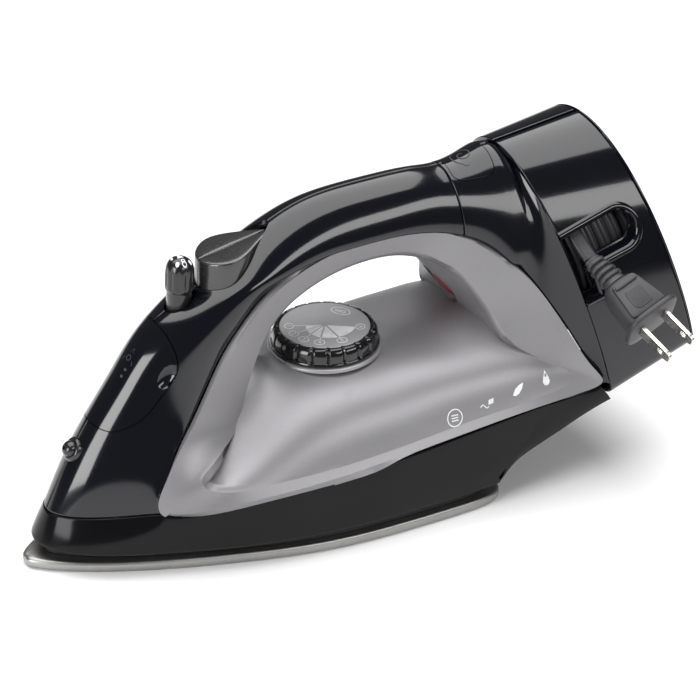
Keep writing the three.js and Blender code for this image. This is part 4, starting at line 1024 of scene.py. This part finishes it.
def drumSide(along, down):
    # half-width of the drum at a place along and down
    t = np.clip(np.asarray(along, float) / drum["length"], 0, 1)
    front = drumHalfWidth(drum["front"], down)
    back = drumHalfWidth(drum["back"], np.asarray(down, float) - drum["back"][3])
    return front + (back - front) * t


lipProfile = [(0.9, -0.2), (0.85, 0.35), (0.4, 0.75), (-0.2, 0.85), (-0.9, 0.7), (-1.35, 0.2), (-1.5, -0.6),
              (-1.6, -2.2), (-1.7, -4.6), (-2.4, -4.8)]
lipRings = []
for grow, proud in lipProfile:
    line = slotLine(grow)
    across = -(drumSide(line[:, 0], line[:, 1]) + proud)
    lipRings.append(np.column_stack([line[:, 0], across, line[:, 1]]))
lipCount = len(lipRings[0])
lip = makeMesh("cordSlotLip", inDrum(np.vstack(lipRings)), gridFaces(len(lipProfile), lipCount), glossBlack)
thick = lip.modifiers.new("thick", "SOLIDIFY")
thick.thickness = 0.0004
thick.offset = -1
finishPiece(lip, "case", "gloss_black", "cord_slot_bezel")


def coverLine(inset, count=120):
    around = np.linspace(0.004, 0.996, count)
    edge = drumSkin(np.ones(count), around)
    down = (edge - drumOrigin) @ drumDown
    middle = drum["back"][3] + drum["back"][2] / 2
    half = np.column_stack([edge[:, 1] * (1 - inset / 54), middle + (down - middle) * (1 - inset / 52)])
    return np.vstack([half, half[::-1] * [-1, 1]])


coverRings = [(3.4, 38.2), (3.4, 42.0), (0.4, 42.2), (0.15, 42.5), (0.15, 42.9), (0.5, 43.25), (1.2, 43.5),
              (3, 43.7),
              (5.2, 43.75), (5.6, 43.45), (6.4, 43.45), (6.8, 43.75), (14, 43.85), (28, 43.95), (42, 44)]
coverPoints = []
for inset, along in coverRings:
    line = coverLine(inset)
    coverPoints.append(np.column_stack([np.full(len(line), along), line]))
coverCount = len(coverPoints[0])
coverFaces = cappedFaces(len(coverRings), coverCount)
cover = makeMesh("backCover", inDrum(np.vstack(coverPoints)), coverFaces, glossBlack)


def drumBar(y, down, low, high, radius):
    # a round bar along the drum
    ring = discOutline(radius, 32, (y, down))
    return barTool([inDrum(np.column_stack([np.full(len(ring), along), ring])) for along in (low, high)])


coverScrews = [(28, 40), (-28, 40), (40, 92), (-40, 92)]
carve(cover, "DIFFERENCE", *[drumBar(y, down, 40.6, 50, 3.2) for y, down in coverScrews])
finishPiece(cover, "case", "gloss_black", "back_cover")
print("drum made")

# cord wound on the reel
windingShape = {"centre": 60, "from": 5.7, "to": 31.3, "inner": 28, "outer": 37.2, "columns": 4}
windingProfile = [(windingShape["inner"], windingShape["from"])]
pitch = (windingShape["to"] - windingShape["from"]) / windingShape["columns"]
for column in range(windingShape["columns"]):
    low = windingShape["from"] + column * pitch
    for t in np.linspace(0.02, 0.98, 15):
        bulge = max(0.0, 1 - abs(2 * t - 1) ** 3.2) ** 0.5
        groove = 0.5 * math.exp(-((t - 0.5) / 0.06) ** 2)
        windingProfile.append((windingShape["outer"] - 2.2 + 2.2 * bulge - groove, low + t * pitch))
windingProfile.append((windingShape["inner"], windingShape["to"]))
reelFrame = np.column_stack([np.cross([0, 1.0, 0], drumAlong), [0, 1.0, 0], drumAlong])
reelPlace = (reelFrame, drumOrigin + drumDown * windingShape["centre"])
winding = turnedPiece("woundCord", windingProfile, cordRubber, 120, reelPlace)
finishPiece(winding, "reel", "rubber", "cord_winding")
print("winding made")


# raised and printed marks
def strokePiece(name, lines, width, low, high, material, place=None):
    # ribbons of the given width along lines of [x, y]; a line is closed where it ends at its start
    vertices, faces = [], []
    for line in lines:
        line = np.asarray(line, float)
        closed = np.linalg.norm(line[0] - line[-1]) < 1e-6
        if closed:
            line = line[:-1]
            heading = np.roll(line, -1, 0) - np.roll(line, 1, 0)
        else:
            heading = np.gradient(line, axis=0)
        heading /= np.maximum(np.linalg.norm(heading, axis=1, keepdims=True), 1e-9)
        aside = np.column_stack([-heading[:, 1], heading[:, 0]]) * width / 2
        start = len(vertices)
        for p, a in zip(line, aside):
            vertices += [(*(p - a), low), (*(p + a), low), (*(p + a), high), (*(p - a), high)]
        faces += gridFaces(len(line), 4, closedRows=closed, closedColumns=True, start=start)
        if not closed:
            end = start + 4 * len(line) - 4
            faces += [tuple(range(start, start + 4)), tuple(range(end + 3, end - 1, -1))]
    return makeMesh(name, placed(vertices, place), faces, material)


def filledPiece(name, outlines, low, high, material, place=None):
    # flat patches over closed outlines of [x, y], each filled from its middle
    vertices, faces = [], []
    for outline in outlines:
        outline = np.asarray(outline, float)
        count = len(outline)
        start = len(vertices)
        middle = outline.mean(0)
        vertices += [(*middle, low)] + [(*p, low) for p in outline]
        vertices += [(*middle, high)] + [(*p, high) for p in outline]
        for i in range(count):
            a, b = start + 1 + i, start + 1 + (i + 1) % count
            c, d = a + count + 1, b + count + 1
            faces += [(start, b, a), (start + count + 1, c, d), (a, b, d, c)]
    return makeMesh(name, placed(vertices, place), faces, material)


def joinPieces(name, pieces, material):
    mesh = bmesh.new()
    for piece in pieces:
        mesh.from_mesh(piece.data)
        bpy.data.objects.remove(piece)
    return pieceFrom(name, mesh, material)


def arcLine(radius, first, last, count=24, centre=(0, 0), squeeze=1, turn=0):
    angles = np.radians(np.linspace(first, last, count))
    x, y = radius * np.cos(angles), radius * squeeze * np.sin(angles)
    c, s = math.cos(math.radians(turn)), math.sin(math.radians(turn))
    return np.column_stack([centre[0] + c * x - s * y, centre[1] + s * x + c * y])


def lettering(text, size, centre, turn, low, high, place, material):
    # raised letters, upright along the direction given by turn
    font = bpy.data.curves.new("letters", "FONT")
    font.body = text
    font.size = size
    font.align_x, font.align_y = "CENTER", "CENTER"
    font.extrude = (high - low) / 2
    font.resolution_u = 3
    written = addObject("letters", font)
    graph = bpy.context.evaluated_depsgraph_get()
    made = bpy.data.meshes.new_from_object(written.evaluated_get(graph))
    points = np.array([v.co[:] for v in made.vertices])
    faces = [tuple(f.vertices) for f in made.polygons]
    bpy.data.objects.remove(written)
    c, s = math.cos(math.radians(turn)), math.sin(math.radians(turn))
    spun = np.column_stack([centre[0] + c * points[:, 0] - s * points[:, 1],
                            centre[1] + s * points[:, 0] + c * points[:, 1], points[:, 2] + (low + high) / 2])
    return makeMesh("letters", placed(spun, place), faces, material)


def surfaceOf(piece):
    mesh = piece.data
    return BVHTree.FromPolygons([v.co[:] for v in mesh.vertices], [tuple(f.vertices) for f in mesh.polygons])


def layOn(piece, surface, direction, lift):
    # drops each point of a flat piece onto a surface; its height over its own base is kept
    way = Vector(direction).normalized()
    heights = [-(v.co @ way) for v in piece.data.vertices]
    base = min(heights)
    for vertex, height in zip(piece.data.vertices, heights):
        start = vertex.co - way * 0.2
        hit = surface.ray_cast(start, way)[0]
        vertex.co = hit - way * (height - base + lift)
    soften(piece)
    return piece


# push buttons
buttons = {"low": 106, "top": 121, "slope": 0.23, "bevel": 0.9, "split": 0.2, "mark": 0.08,
           "thick": 0.1, "stroke": 0.32, "stem": (84, 5.8)}


def buttonTop(x):
    return buttons["top"] + buttons["slope"] * (x - 77)


wholeDrop = dropOutline(0, 160)
for side, sign, body, node in (("spray", 1, "spray_pusher", "spray_button"),
                               ("steam", -1, "steam_pusher", "steam_button")):
    half = wholeDrop[wholeDrop[:, 1] * sign > buttons["split"]]
    half = half[np.argsort(half[:, 0] if sign > 0 else -half[:, 0])]
    straight = np.linspace(half[-1, 0], half[0, 0], 22)
    edge = np.vstack([half, np.column_stack([straight, np.full(22, sign * buttons["split"])])])
    middle = np.array([87.5, sign * 5.4])
    rings = []
    for inset, fall in ((0, None), (0, 12), (0, 6), (0, buttons["bevel"]), (0.12, 0.45), (0.4, 0.14),
                        (0.9, 0),
                        (2.2, -0.05), (3.6, -0.1)):
        ring = growAbout(edge, middle, -inset)
        level = np.full(len(ring), float(buttons["low"])) if fall is None else buttonTop(ring[:, 0]) - fall
        rings.append(np.column_stack([ring, level]))
    cap = makeMesh(side + "Cap", np.vstack(rings), cappedFaces(len(rings), len(edge)), buttonGrey, 42)
    stem = prismTool(discOutline(1.8, 20, (buttons["stem"][0], sign * buttons["stem"][1])), 91, 107.5)
    button = joinPieces(side + "PushButton", [cap, stem], buttonGrey)
    soften(button, 42)
    finishPiece(button, body, "dark_grey", node)
topPlace = tilted(-math.atan(buttons["slope"]), (88, 0, buttonTop(88)))
mist = [[(x, y), (x + 0.9, y + 0.1)] for x, y in
        [(-4.0 - 1.5 * i, 3.1 + 1.5 * j + 0.25 * i) for i in range(3) for j in range(3)]]
tank = [(-1.2, 3.2), (-2.2, 6.0), (0.9, 6.4), (1.6, 3.9), (-1.2, 3.2)]
cloud = [arcLine(2.0, a, a + 34, 7, (-3.2, -5.4)) for a in range(25, 340, 45)]
markLow, markHigh = buttons["mark"], buttons["mark"] + buttons["thick"]
sprayMark = strokePiece("sprayMark", mist + [tank], buttons["stroke"], markLow, markHigh, printDark, topPlace)
finishPiece(sprayMark, "spray_pusher", "dial_print")
puff = strokePiece("puff", cloud, buttons["stroke"], markLow, markHigh, printDark, topPlace)
shoeLine = [(-1.0, -4.9), (2.6, -3.2), (3.1, -4.6), (-0.4, -6.3)]
shoe = filledPiece("shoe", [shoeLine], markLow, markHigh, printDark, topPlace)
steamMark = joinPieces("steamMark", [puff, shoe], printDark)
finishPiece(steamMark, "steam_pusher", "dial_print")


# coil springs
coils = {"wire": 0.45, "turns": 4, "push": (3.2, 100.75, 105.25), "valve": (4, 40.3, 51.7), "valveTurns": 5,
         "keep": 0.42}


def coilPiece(name, x, y, radius, low, high, turns):
    # a round-wire helix
    steps, sides = turns * 28, 10
    rings = []
    for i in range(steps + 1):
        a = 2 * math.pi * turns * i / steps
        out = np.array([math.cos(a), math.sin(a), 0])
        middle = np.array([x, y, low + (high - low) * i / steps]) + out * radius
        rings.append([middle + coils["wire"] * (math.cos(b) * out + math.sin(b) * np.array([0, 0, 1]))
                      for b in np.linspace(0, 2 * math.pi, sides, endpoint=False)])
    return makeMesh(name, np.array(rings).reshape(-1, 3), cappedFaces(steps + 1, sides), brightSteel)


radius, low, high = coils["push"]
for side, sign in (("spray", 1), ("steam", -1)):
    x, y = buttons["stem"][0], sign * buttons["stem"][1]
    coil = coilPiece(side + "Coil", x, y, radius, low, high, coils["turns"])
    finishPiece(coil, "case", "steel", side + "_spring")
    anchor = toFrame((x, y, low - coils["wire"]))[0]
    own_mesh(coil)
radius, low, high = coils["valve"]
valveCoil = coilPiece("valveCoil", 67.5, 0, radius, low, high, coils["valveTurns"])
finishPiece(valveCoil, "case", "steel", "valve_spring")
print("push buttons and springs made")

# steam knob and spray nozzle
knob = {"x": 67.5, "dot": 0.75, "ring": 0.3, "markFrom": (130, 130.1), "ribs": 12, "ribLow": 110.6,
        "ribHigh": 119.2, "ribDepth": 0.42}
knobProfile = [(0, 98), (4.9, 98), (5.2, 98.4), (5.2, 108.6), (5.25, 109.2), (5.75, 110.1), (5.85, 111),
               (5.85, 112.4),
               (5.85, 113.8), (5.85, 115.2), (5.84, 116.4), (5.75, 117.6), (5.6, 118.7), (5.3, 119.8),
               (4.9, 120.7),
               (4.3, 121.6), (3.5, 122.35), (2.5, 122.9), (1.3, 123.2), (0, 123.3)]


def ribbed(radius, height, angle):
    inside = max(0.0, 1 - abs(2 * (height - knob["ribLow"]) / (knob["ribHigh"] - knob["ribLow"]) - 1) ** 4)
    wave = 0.5 + 0.5 * math.cos(knob["ribs"] * angle)
    return radius - knob["ribDepth"] * inside * wave ** 3 if radius > 0 else 0


knobPlace = (np.eye(3), np.array([knob["x"], 0, 0], float))
steamKnob = turnedPiece("steamKnobCap", knobProfile, knobBlack, 144, knobPlace, ribbed)
finishPiece(steamKnob, "steam_control", "dark_grey", "steam_knob")
knobTree = surfaceOf(steamKnob)
knobFills = [discOutline(knob["dot"], 18, (64.9, -3.0)), discOutline(knob["dot"], 18, (70.4, -3.0)),
             [(66.2, -0.7), (67.0, 2.4), (68.0, 2.4), (68.8, -0.7)],
             [(63.9, 0.5), (64.4, 2.2), (65.1, 1.6), (64.6, 0.1)]]
knobLines = [arcLine(0.8, 0, 360, 20, (67.5, -3.9)), arcLine(0.62, 0, 360, 20, (67.5, -2.6))]
dots = filledPiece("knobDots", knobFills, *knob["markFrom"], printWhite)
rings = strokePiece("knobRings", knobLines, knob["ring"], *knob["markFrom"], printWhite)
knobMarks = layOn(joinPieces("knobMarks", [dots, rings], printWhite), knobTree, (0, 0, -1), 0.00002)
finishPiece(knobMarks, "steam_control", "dial_print")
nozzleProfile = [(0.8, -4), (3, -4), (3, -1.8), (4.8, -1.8), (5, -1.6), (5, 0.5), (4.9, 0.75), (4.3, 1.2),
                 (3.9, 1.3),
                 (3.75, 1.05), (3.5, 1.05), (3.4, 1.4), (3.4, 1.8), (3.25, 2.3), (3.0, 2.8), (2.6, 3.3),
                 (2.1, 3.7),
                 (1.5, 4.0), (1.0, 4.15), (0.8, 4.1)]
nozzle = turnedRing("sprayTip", nozzleProfile, knobBlack, 72, nozzlePlace)
finishPiece(nozzle, "case", "gloss_black", "spray_nozzle")
print("knob and nozzle made")

# temperature dial
dial = {"centre": (136, 0, 67.6), "tilt": -3.5, "notches": 20, "notchDepth": 0.85, "markRadius": 14.8,
        "scale": [-206, -180, -156, -129, -92, -38], "offAngle": 29, "offRadius": 13.2, "face": 10.5,
        "letters": 2.9, "fanStart": 7.6, "fanGrowth": 1.05, "fanGap": 2, "hub": 1.2, "spokeEnd": 12.8}
dialPlace = tilted(math.radians(dial["tilt"]), dial["centre"])
dialProfile = [(0, 3), (22.2, 3), (22.7, 3.25), (22.9, 3.8), (22.7, 4.3), (22.35, 4.6), (22.35, 6.0),
               (22.2, 7.4),
               (21.8, 8.7), (21.2, 9.7), (20.4, 10.35), (19.7, 10.55), (19.25, 10.4), (19.2, 9.4), (0, 9.4)]


def notched(radius, height, angle):
    t = (angle * dial["notches"] / (2 * math.pi)) % 1
    groove = math.exp(-((t - 0.5) / 0.085) ** 2)
    inside = 1 if 4.5 < height < 10.6 and radius > 19.3 else 0
    return radius - dial["notchDepth"] * groove * inside


dialKnob = turnedPiece("dialKnob", dialProfile, dialBlack, 400, dialPlace, notched)
shaft = prismTool(discOutline(2.8, 28), -51, 3.2, dialPlace)
dialKnob = joinPieces("temperatureKnob", [dialKnob, shaft], dialBlack)
soften(dialKnob, 34)
finishPiece(dialKnob, "dial", "gloss_black", "temperature_dial")
faceProfile = [(0, 9.7), (18.7, 9.7), (18.9, 9.85), (18.9, 10.2), (18.75, 10.42), (18.5, 10.5), (9, 10.52),
               (0, 10.54)]
face = turnedPiece("dialPlate", faceProfile, dialFaceGrey, 120, dialPlace)
finishPiece(face, "dial", "dial_print", "dial_face")
ringProfile = [(19, 0.9), (23.8, 0.9), (24, 1.1), (24, 1.9), (23.8, 2.3), (23.3, 2.55), (22.7, 2.6),
               (19.3, 2.6),
               (19, 2.4)]
dialRing = turnedRing("dialCollar", ringProfile, ringGrey, 120, dialPlace)
finishPiece(dialRing, "case", "grey_shell", "dial_ring")

low, high = dial["face"] + 0.03, dial["face"] + 0.12


def onDial(radius, degrees):
    angle = math.radians(degrees)
    return radius * math.cos(angle), radius * math.sin(angle)


def fanReach(number):
    return dial["fanStart"] + dial["fanGrowth"] * number


fan = []
for k, (first, last) in enumerate(zip(dial["scale"], dial["scale"][1:])):
    inner, outer = fanReach(k), fanReach(k + 1)
    begin, span = first + dial["fanGap"], last - first - 2 * dial["fanGap"]
    arc = [onDial(inner + (outer - inner) * t, begin + span * t) for t in np.linspace(0, 1, 12)]
    fan.append([onDial(dial["hub"], (first + last) / 2)] + arc)
ovals, spokes, digits = [], [], []
for k, angle in enumerate(dial["scale"]):
    at = onDial(dial["markRadius"], angle)
    ovals.append(arcLine(2.2, 0, 360, 36, at, 0.86, angle + 90))
    spokes.append([onDial(fanReach(k), angle), onDial(dial["spokeEnd"], angle)])
    digits.append(lettering(str(k + 1), dial["letters"], at, angle + 90, low, high, dialPlace, printWhite))
at, upright = onDial(dial["offRadius"], dial["offAngle"]), dial["offAngle"] + 90
ovals.append(arcLine(4.3, 0, 360, 44, at, 0.62, upright))
digits.append(lettering("OFF", dial["letters"], at, upright, low, high, dialPlace, printWhite))
marks = [filledPiece("fan", fan, low, high, printWhite, dialPlace),
         strokePiece("ovals", ovals, 0.36, low, high, printWhite, dialPlace),
         strokePiece("spokes", spokes, 0.3, low, high, printWhite, dialPlace)] + digits
finishPiece(joinPieces("dialMarks", marks, printWhite), "dial", "dial_print")
print("dial made")

# marks on the shell, the door and the rewind button
saddleTree = surfaceOf(saddle)
drop = [(-4.4, 0), (-2.4, 0.75), (-0.6, 1.5), (1.2, 1.9), (2.8, 1.6), (3.8, 0.8), (4.1, 0), (3.8, -0.8),
        (2.8, -1.6),
        (1.2, -1.9), (-0.6, -1.5), (-2.4, -0.75)]
pointer = filledPiece("dialPointer", [[(168.9 + x * 0.95, 5.6 + y) for x, y in drop]], 92, 92.1, dialBlack)
layOn(pointer, saddleTree, (0, 0, -1), 0.00003)
finishPiece(pointer, "case", "dial_print")
doorTree = surfaceOf(doorPatch)
sightLines = [arcLine(1.1, 0, 360, 24, (-1.8, 5.4)), [(-5.0, 3.4), (-1.8, 9.6), (1.4, 3.4), (-5.0, 3.4)]]
sightDots = [discOutline(0.6, 18, (-3.6, 0.8)), discOutline(0.6, 18, (-3.6, -2.2))]
doorPlace = tilted(-math.radians(56), (42, 0, 80.5))
facing = np.column_stack([doorPlace[0][:, 1], doorPlace[0][:, 0], doorPlace[0][:, 2]])
markPlace = (facing, doorPlace[1])
sightParts = [strokePiece("lines", sightLines, 0.3, 0, 0.1, plugRubber, markPlace),
              filledPiece("dots", sightDots, 0, 0.25, plugRubber, markPlace)]
doorMark = joinPieces("waterMark", sightParts, plugRubber)
layOn(doorMark, doorTree, tuple(-doorPlace[0][:, 2]), 0.00003)
finishPiece(doorMark, "door", "gloss_black")
rewindTree = surfaceOf(rewindPatch)
swirl = {"start": 0.9, "growth": 0.0083, "from": 40, "sweep": 560, "shift": -1.5}
spiral = []
for t in np.linspace(0, swirl["sweep"], 70):
    reach, angle = swirl["start"] + swirl["growth"] * t, math.radians(t + swirl["from"])
    spiral.append((reach * math.cos(angle) + swirl["shift"], reach * math.sin(angle)))
tailLine = [(spiral[-1][0] + dx, spiral[-1][1] + dy) for dx, dy in ((0.4, -1.0), (1.4, -1.8), (2.4, -1.5))]
rewindMark = strokePiece("rewindSpiral", [spiral + tailLine], 0.5, 12, 12.16, plugRubber, rewindPlace)
layOn(rewindMark, rewindTree, tuple(-rewindPlace[0][:, 2]), 0.00003)
finishPiece(rewindMark, "rewind_pusher", "gloss_black")

signs = {"y": -75, "places": [(171.5, 48.8), (187.4, 52), (202.8, 54), (217.1, 55.8)]}
signPlace = (np.array([[1, 0, 0], [0, 0, -1], [0, 1, 0]], float), np.array([0, signs["y"], 0], float))
c1, c2, c3, c4 = signs["places"]


def shifted(centre, points):
    return [(centre[0] + x, centre[1] + z) for x, z in points]


signLines = [arcLine(3.5, 0, 360, 40, c1)]
signLines += [shifted(c1, [(-1.6, h), (1.6, h)]) for h in (-1.1, 0, 1.1)]
signLines += [shifted(c2, [(t - 3.2, 0.8 * math.sin(t * 1.5) - 1.4) for t in np.linspace(0, 4, 14)])]
signFills = [shifted(c2, [(0.6, -1.0), (0.9, 0.9), (3.3, 1.3), (3.0, -0.7)]),
             shifted(c3, [(-2.6, -1.6), (-1.2, 0.8), (1.2, 2.2), (3.0, 2.6), (2.2, 0.6), (0.4, -1.4),
                          (-1.2, -2.0)]),
             shifted(c4, [(0, 3.6), (-1.3, 0.9), (-1.7, -0.9), (-0.9, -2.2), (0.9, -2.2), (1.7, -0.9),
                          (1.3, 0.9)])]
signParts = [strokePiece("lines", signLines, 0.4, 0, 0.08, printWhite, signPlace),
             filledPiece("fills", signFills, 0, 0.08, printWhite, signPlace)]
sideSigns = joinPieces("sideSigns", signParts, printWhite)
layOn(sideSigns, saddleTree, (0, 1, 0), 0.00003)
finishPiece(sideSigns, "case", "dial_print")
print("marks laid")

# finishes on the pieces that keep their own shape
carriedOver = {
    brightSteel: ["cover_screw_1", "cover_screw_2", "cover_screw_3", "cover_screw_4", "return_spring",
                  "steam_valve_rod", "heating_element", "lever_pin", "thermal_fuse"],
    soleMetal: ["steam_chamber_cover"],
    brassMetal: ["slip_ring_plate", "valve_collar", "thermostat_body"],
    deepBlack: ["reel_spool", "reel_axle", "brake_lever", "heel_foot_left", "heel_foot_right", "fill_gasket",
                "tilt_switch", "terminal_block", "heat_shield"],
    skirtBlack: ["tail_panel"],
    smokeClear: ["water_tank", "spray_pump", "steam_pump", "spray_tube", "neon_lamp"],
    boardGreen: ["auto_off_board"],
}
for finishUsed, nodes in carriedOver.items():
    for node in nodes:
        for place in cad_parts[node].material_slots:
            place.material = finishUsed
print("carried pieces finished")


# floor, lights and the closing lines
# each light: where it stands, where it aims, its size and its power
studio = {"floor": (0.93, 0.93, 0.935), "floorHalf": 6, "world": 0.1,
          "topBox": ((0.0, 0.15, 1.15), (0, 0, 0.05), (1.5, 1.3), 25),
          "noseBox": ((-1.2, -0.3, 0.4), (0, 0, 0.08), (0.5, 0.62), 9),
          "sideBox": ((0.36, -1.02, 0.7), (0.05, 0, 0.1), (1.1, 0.28), 6)}
floorMesh = bpy.data.meshes.new("floor")
half = studio["floorHalf"]
floorMesh.from_pydata([(-half, -half, 0), (half, -half, 0), (half, half, 0), (-half, half, 0)], [],
                      [(0, 1, 2, 3)])
floorFinish = Finish("floorPaper", Roughness=0.9)
paper = floorFinish.grain(3, 2)
floorFinish.shade(paper, studio["floor"], tuple(min(1, c * 1.015) for c in studio["floor"]))
floorMesh.materials.append(floorFinish.material)
addObject("floor", floorMesh)
world = bpy.data.worlds.new("studio")
world.use_nodes = True
world.node_tree.nodes["Background"].inputs["Color"].default_value = (1, 1, 1, 1)
world.node_tree.nodes["Background"].inputs["Strength"].default_value = studio["world"]
bpy.context.scene.world = world


def softLight(name, place, aim, size, power):
    data = bpy.data.lights.new(name, "AREA")
    data.shape = "RECTANGLE"
    data.size, data.size_y = size
    data.energy = power
    lamp = addObject(name, data)
    lamp.location = place
    lamp.rotation_euler = (Vector(aim) - Vector(place)).to_track_quat("-Z", "Y").to_euler()


for box in ("topBox", "noseBox", "sideBox"):
    softLight(box, *studio[box])
bpy.context.scene.view_settings.view_transform = "Standard"
print("stage lit")
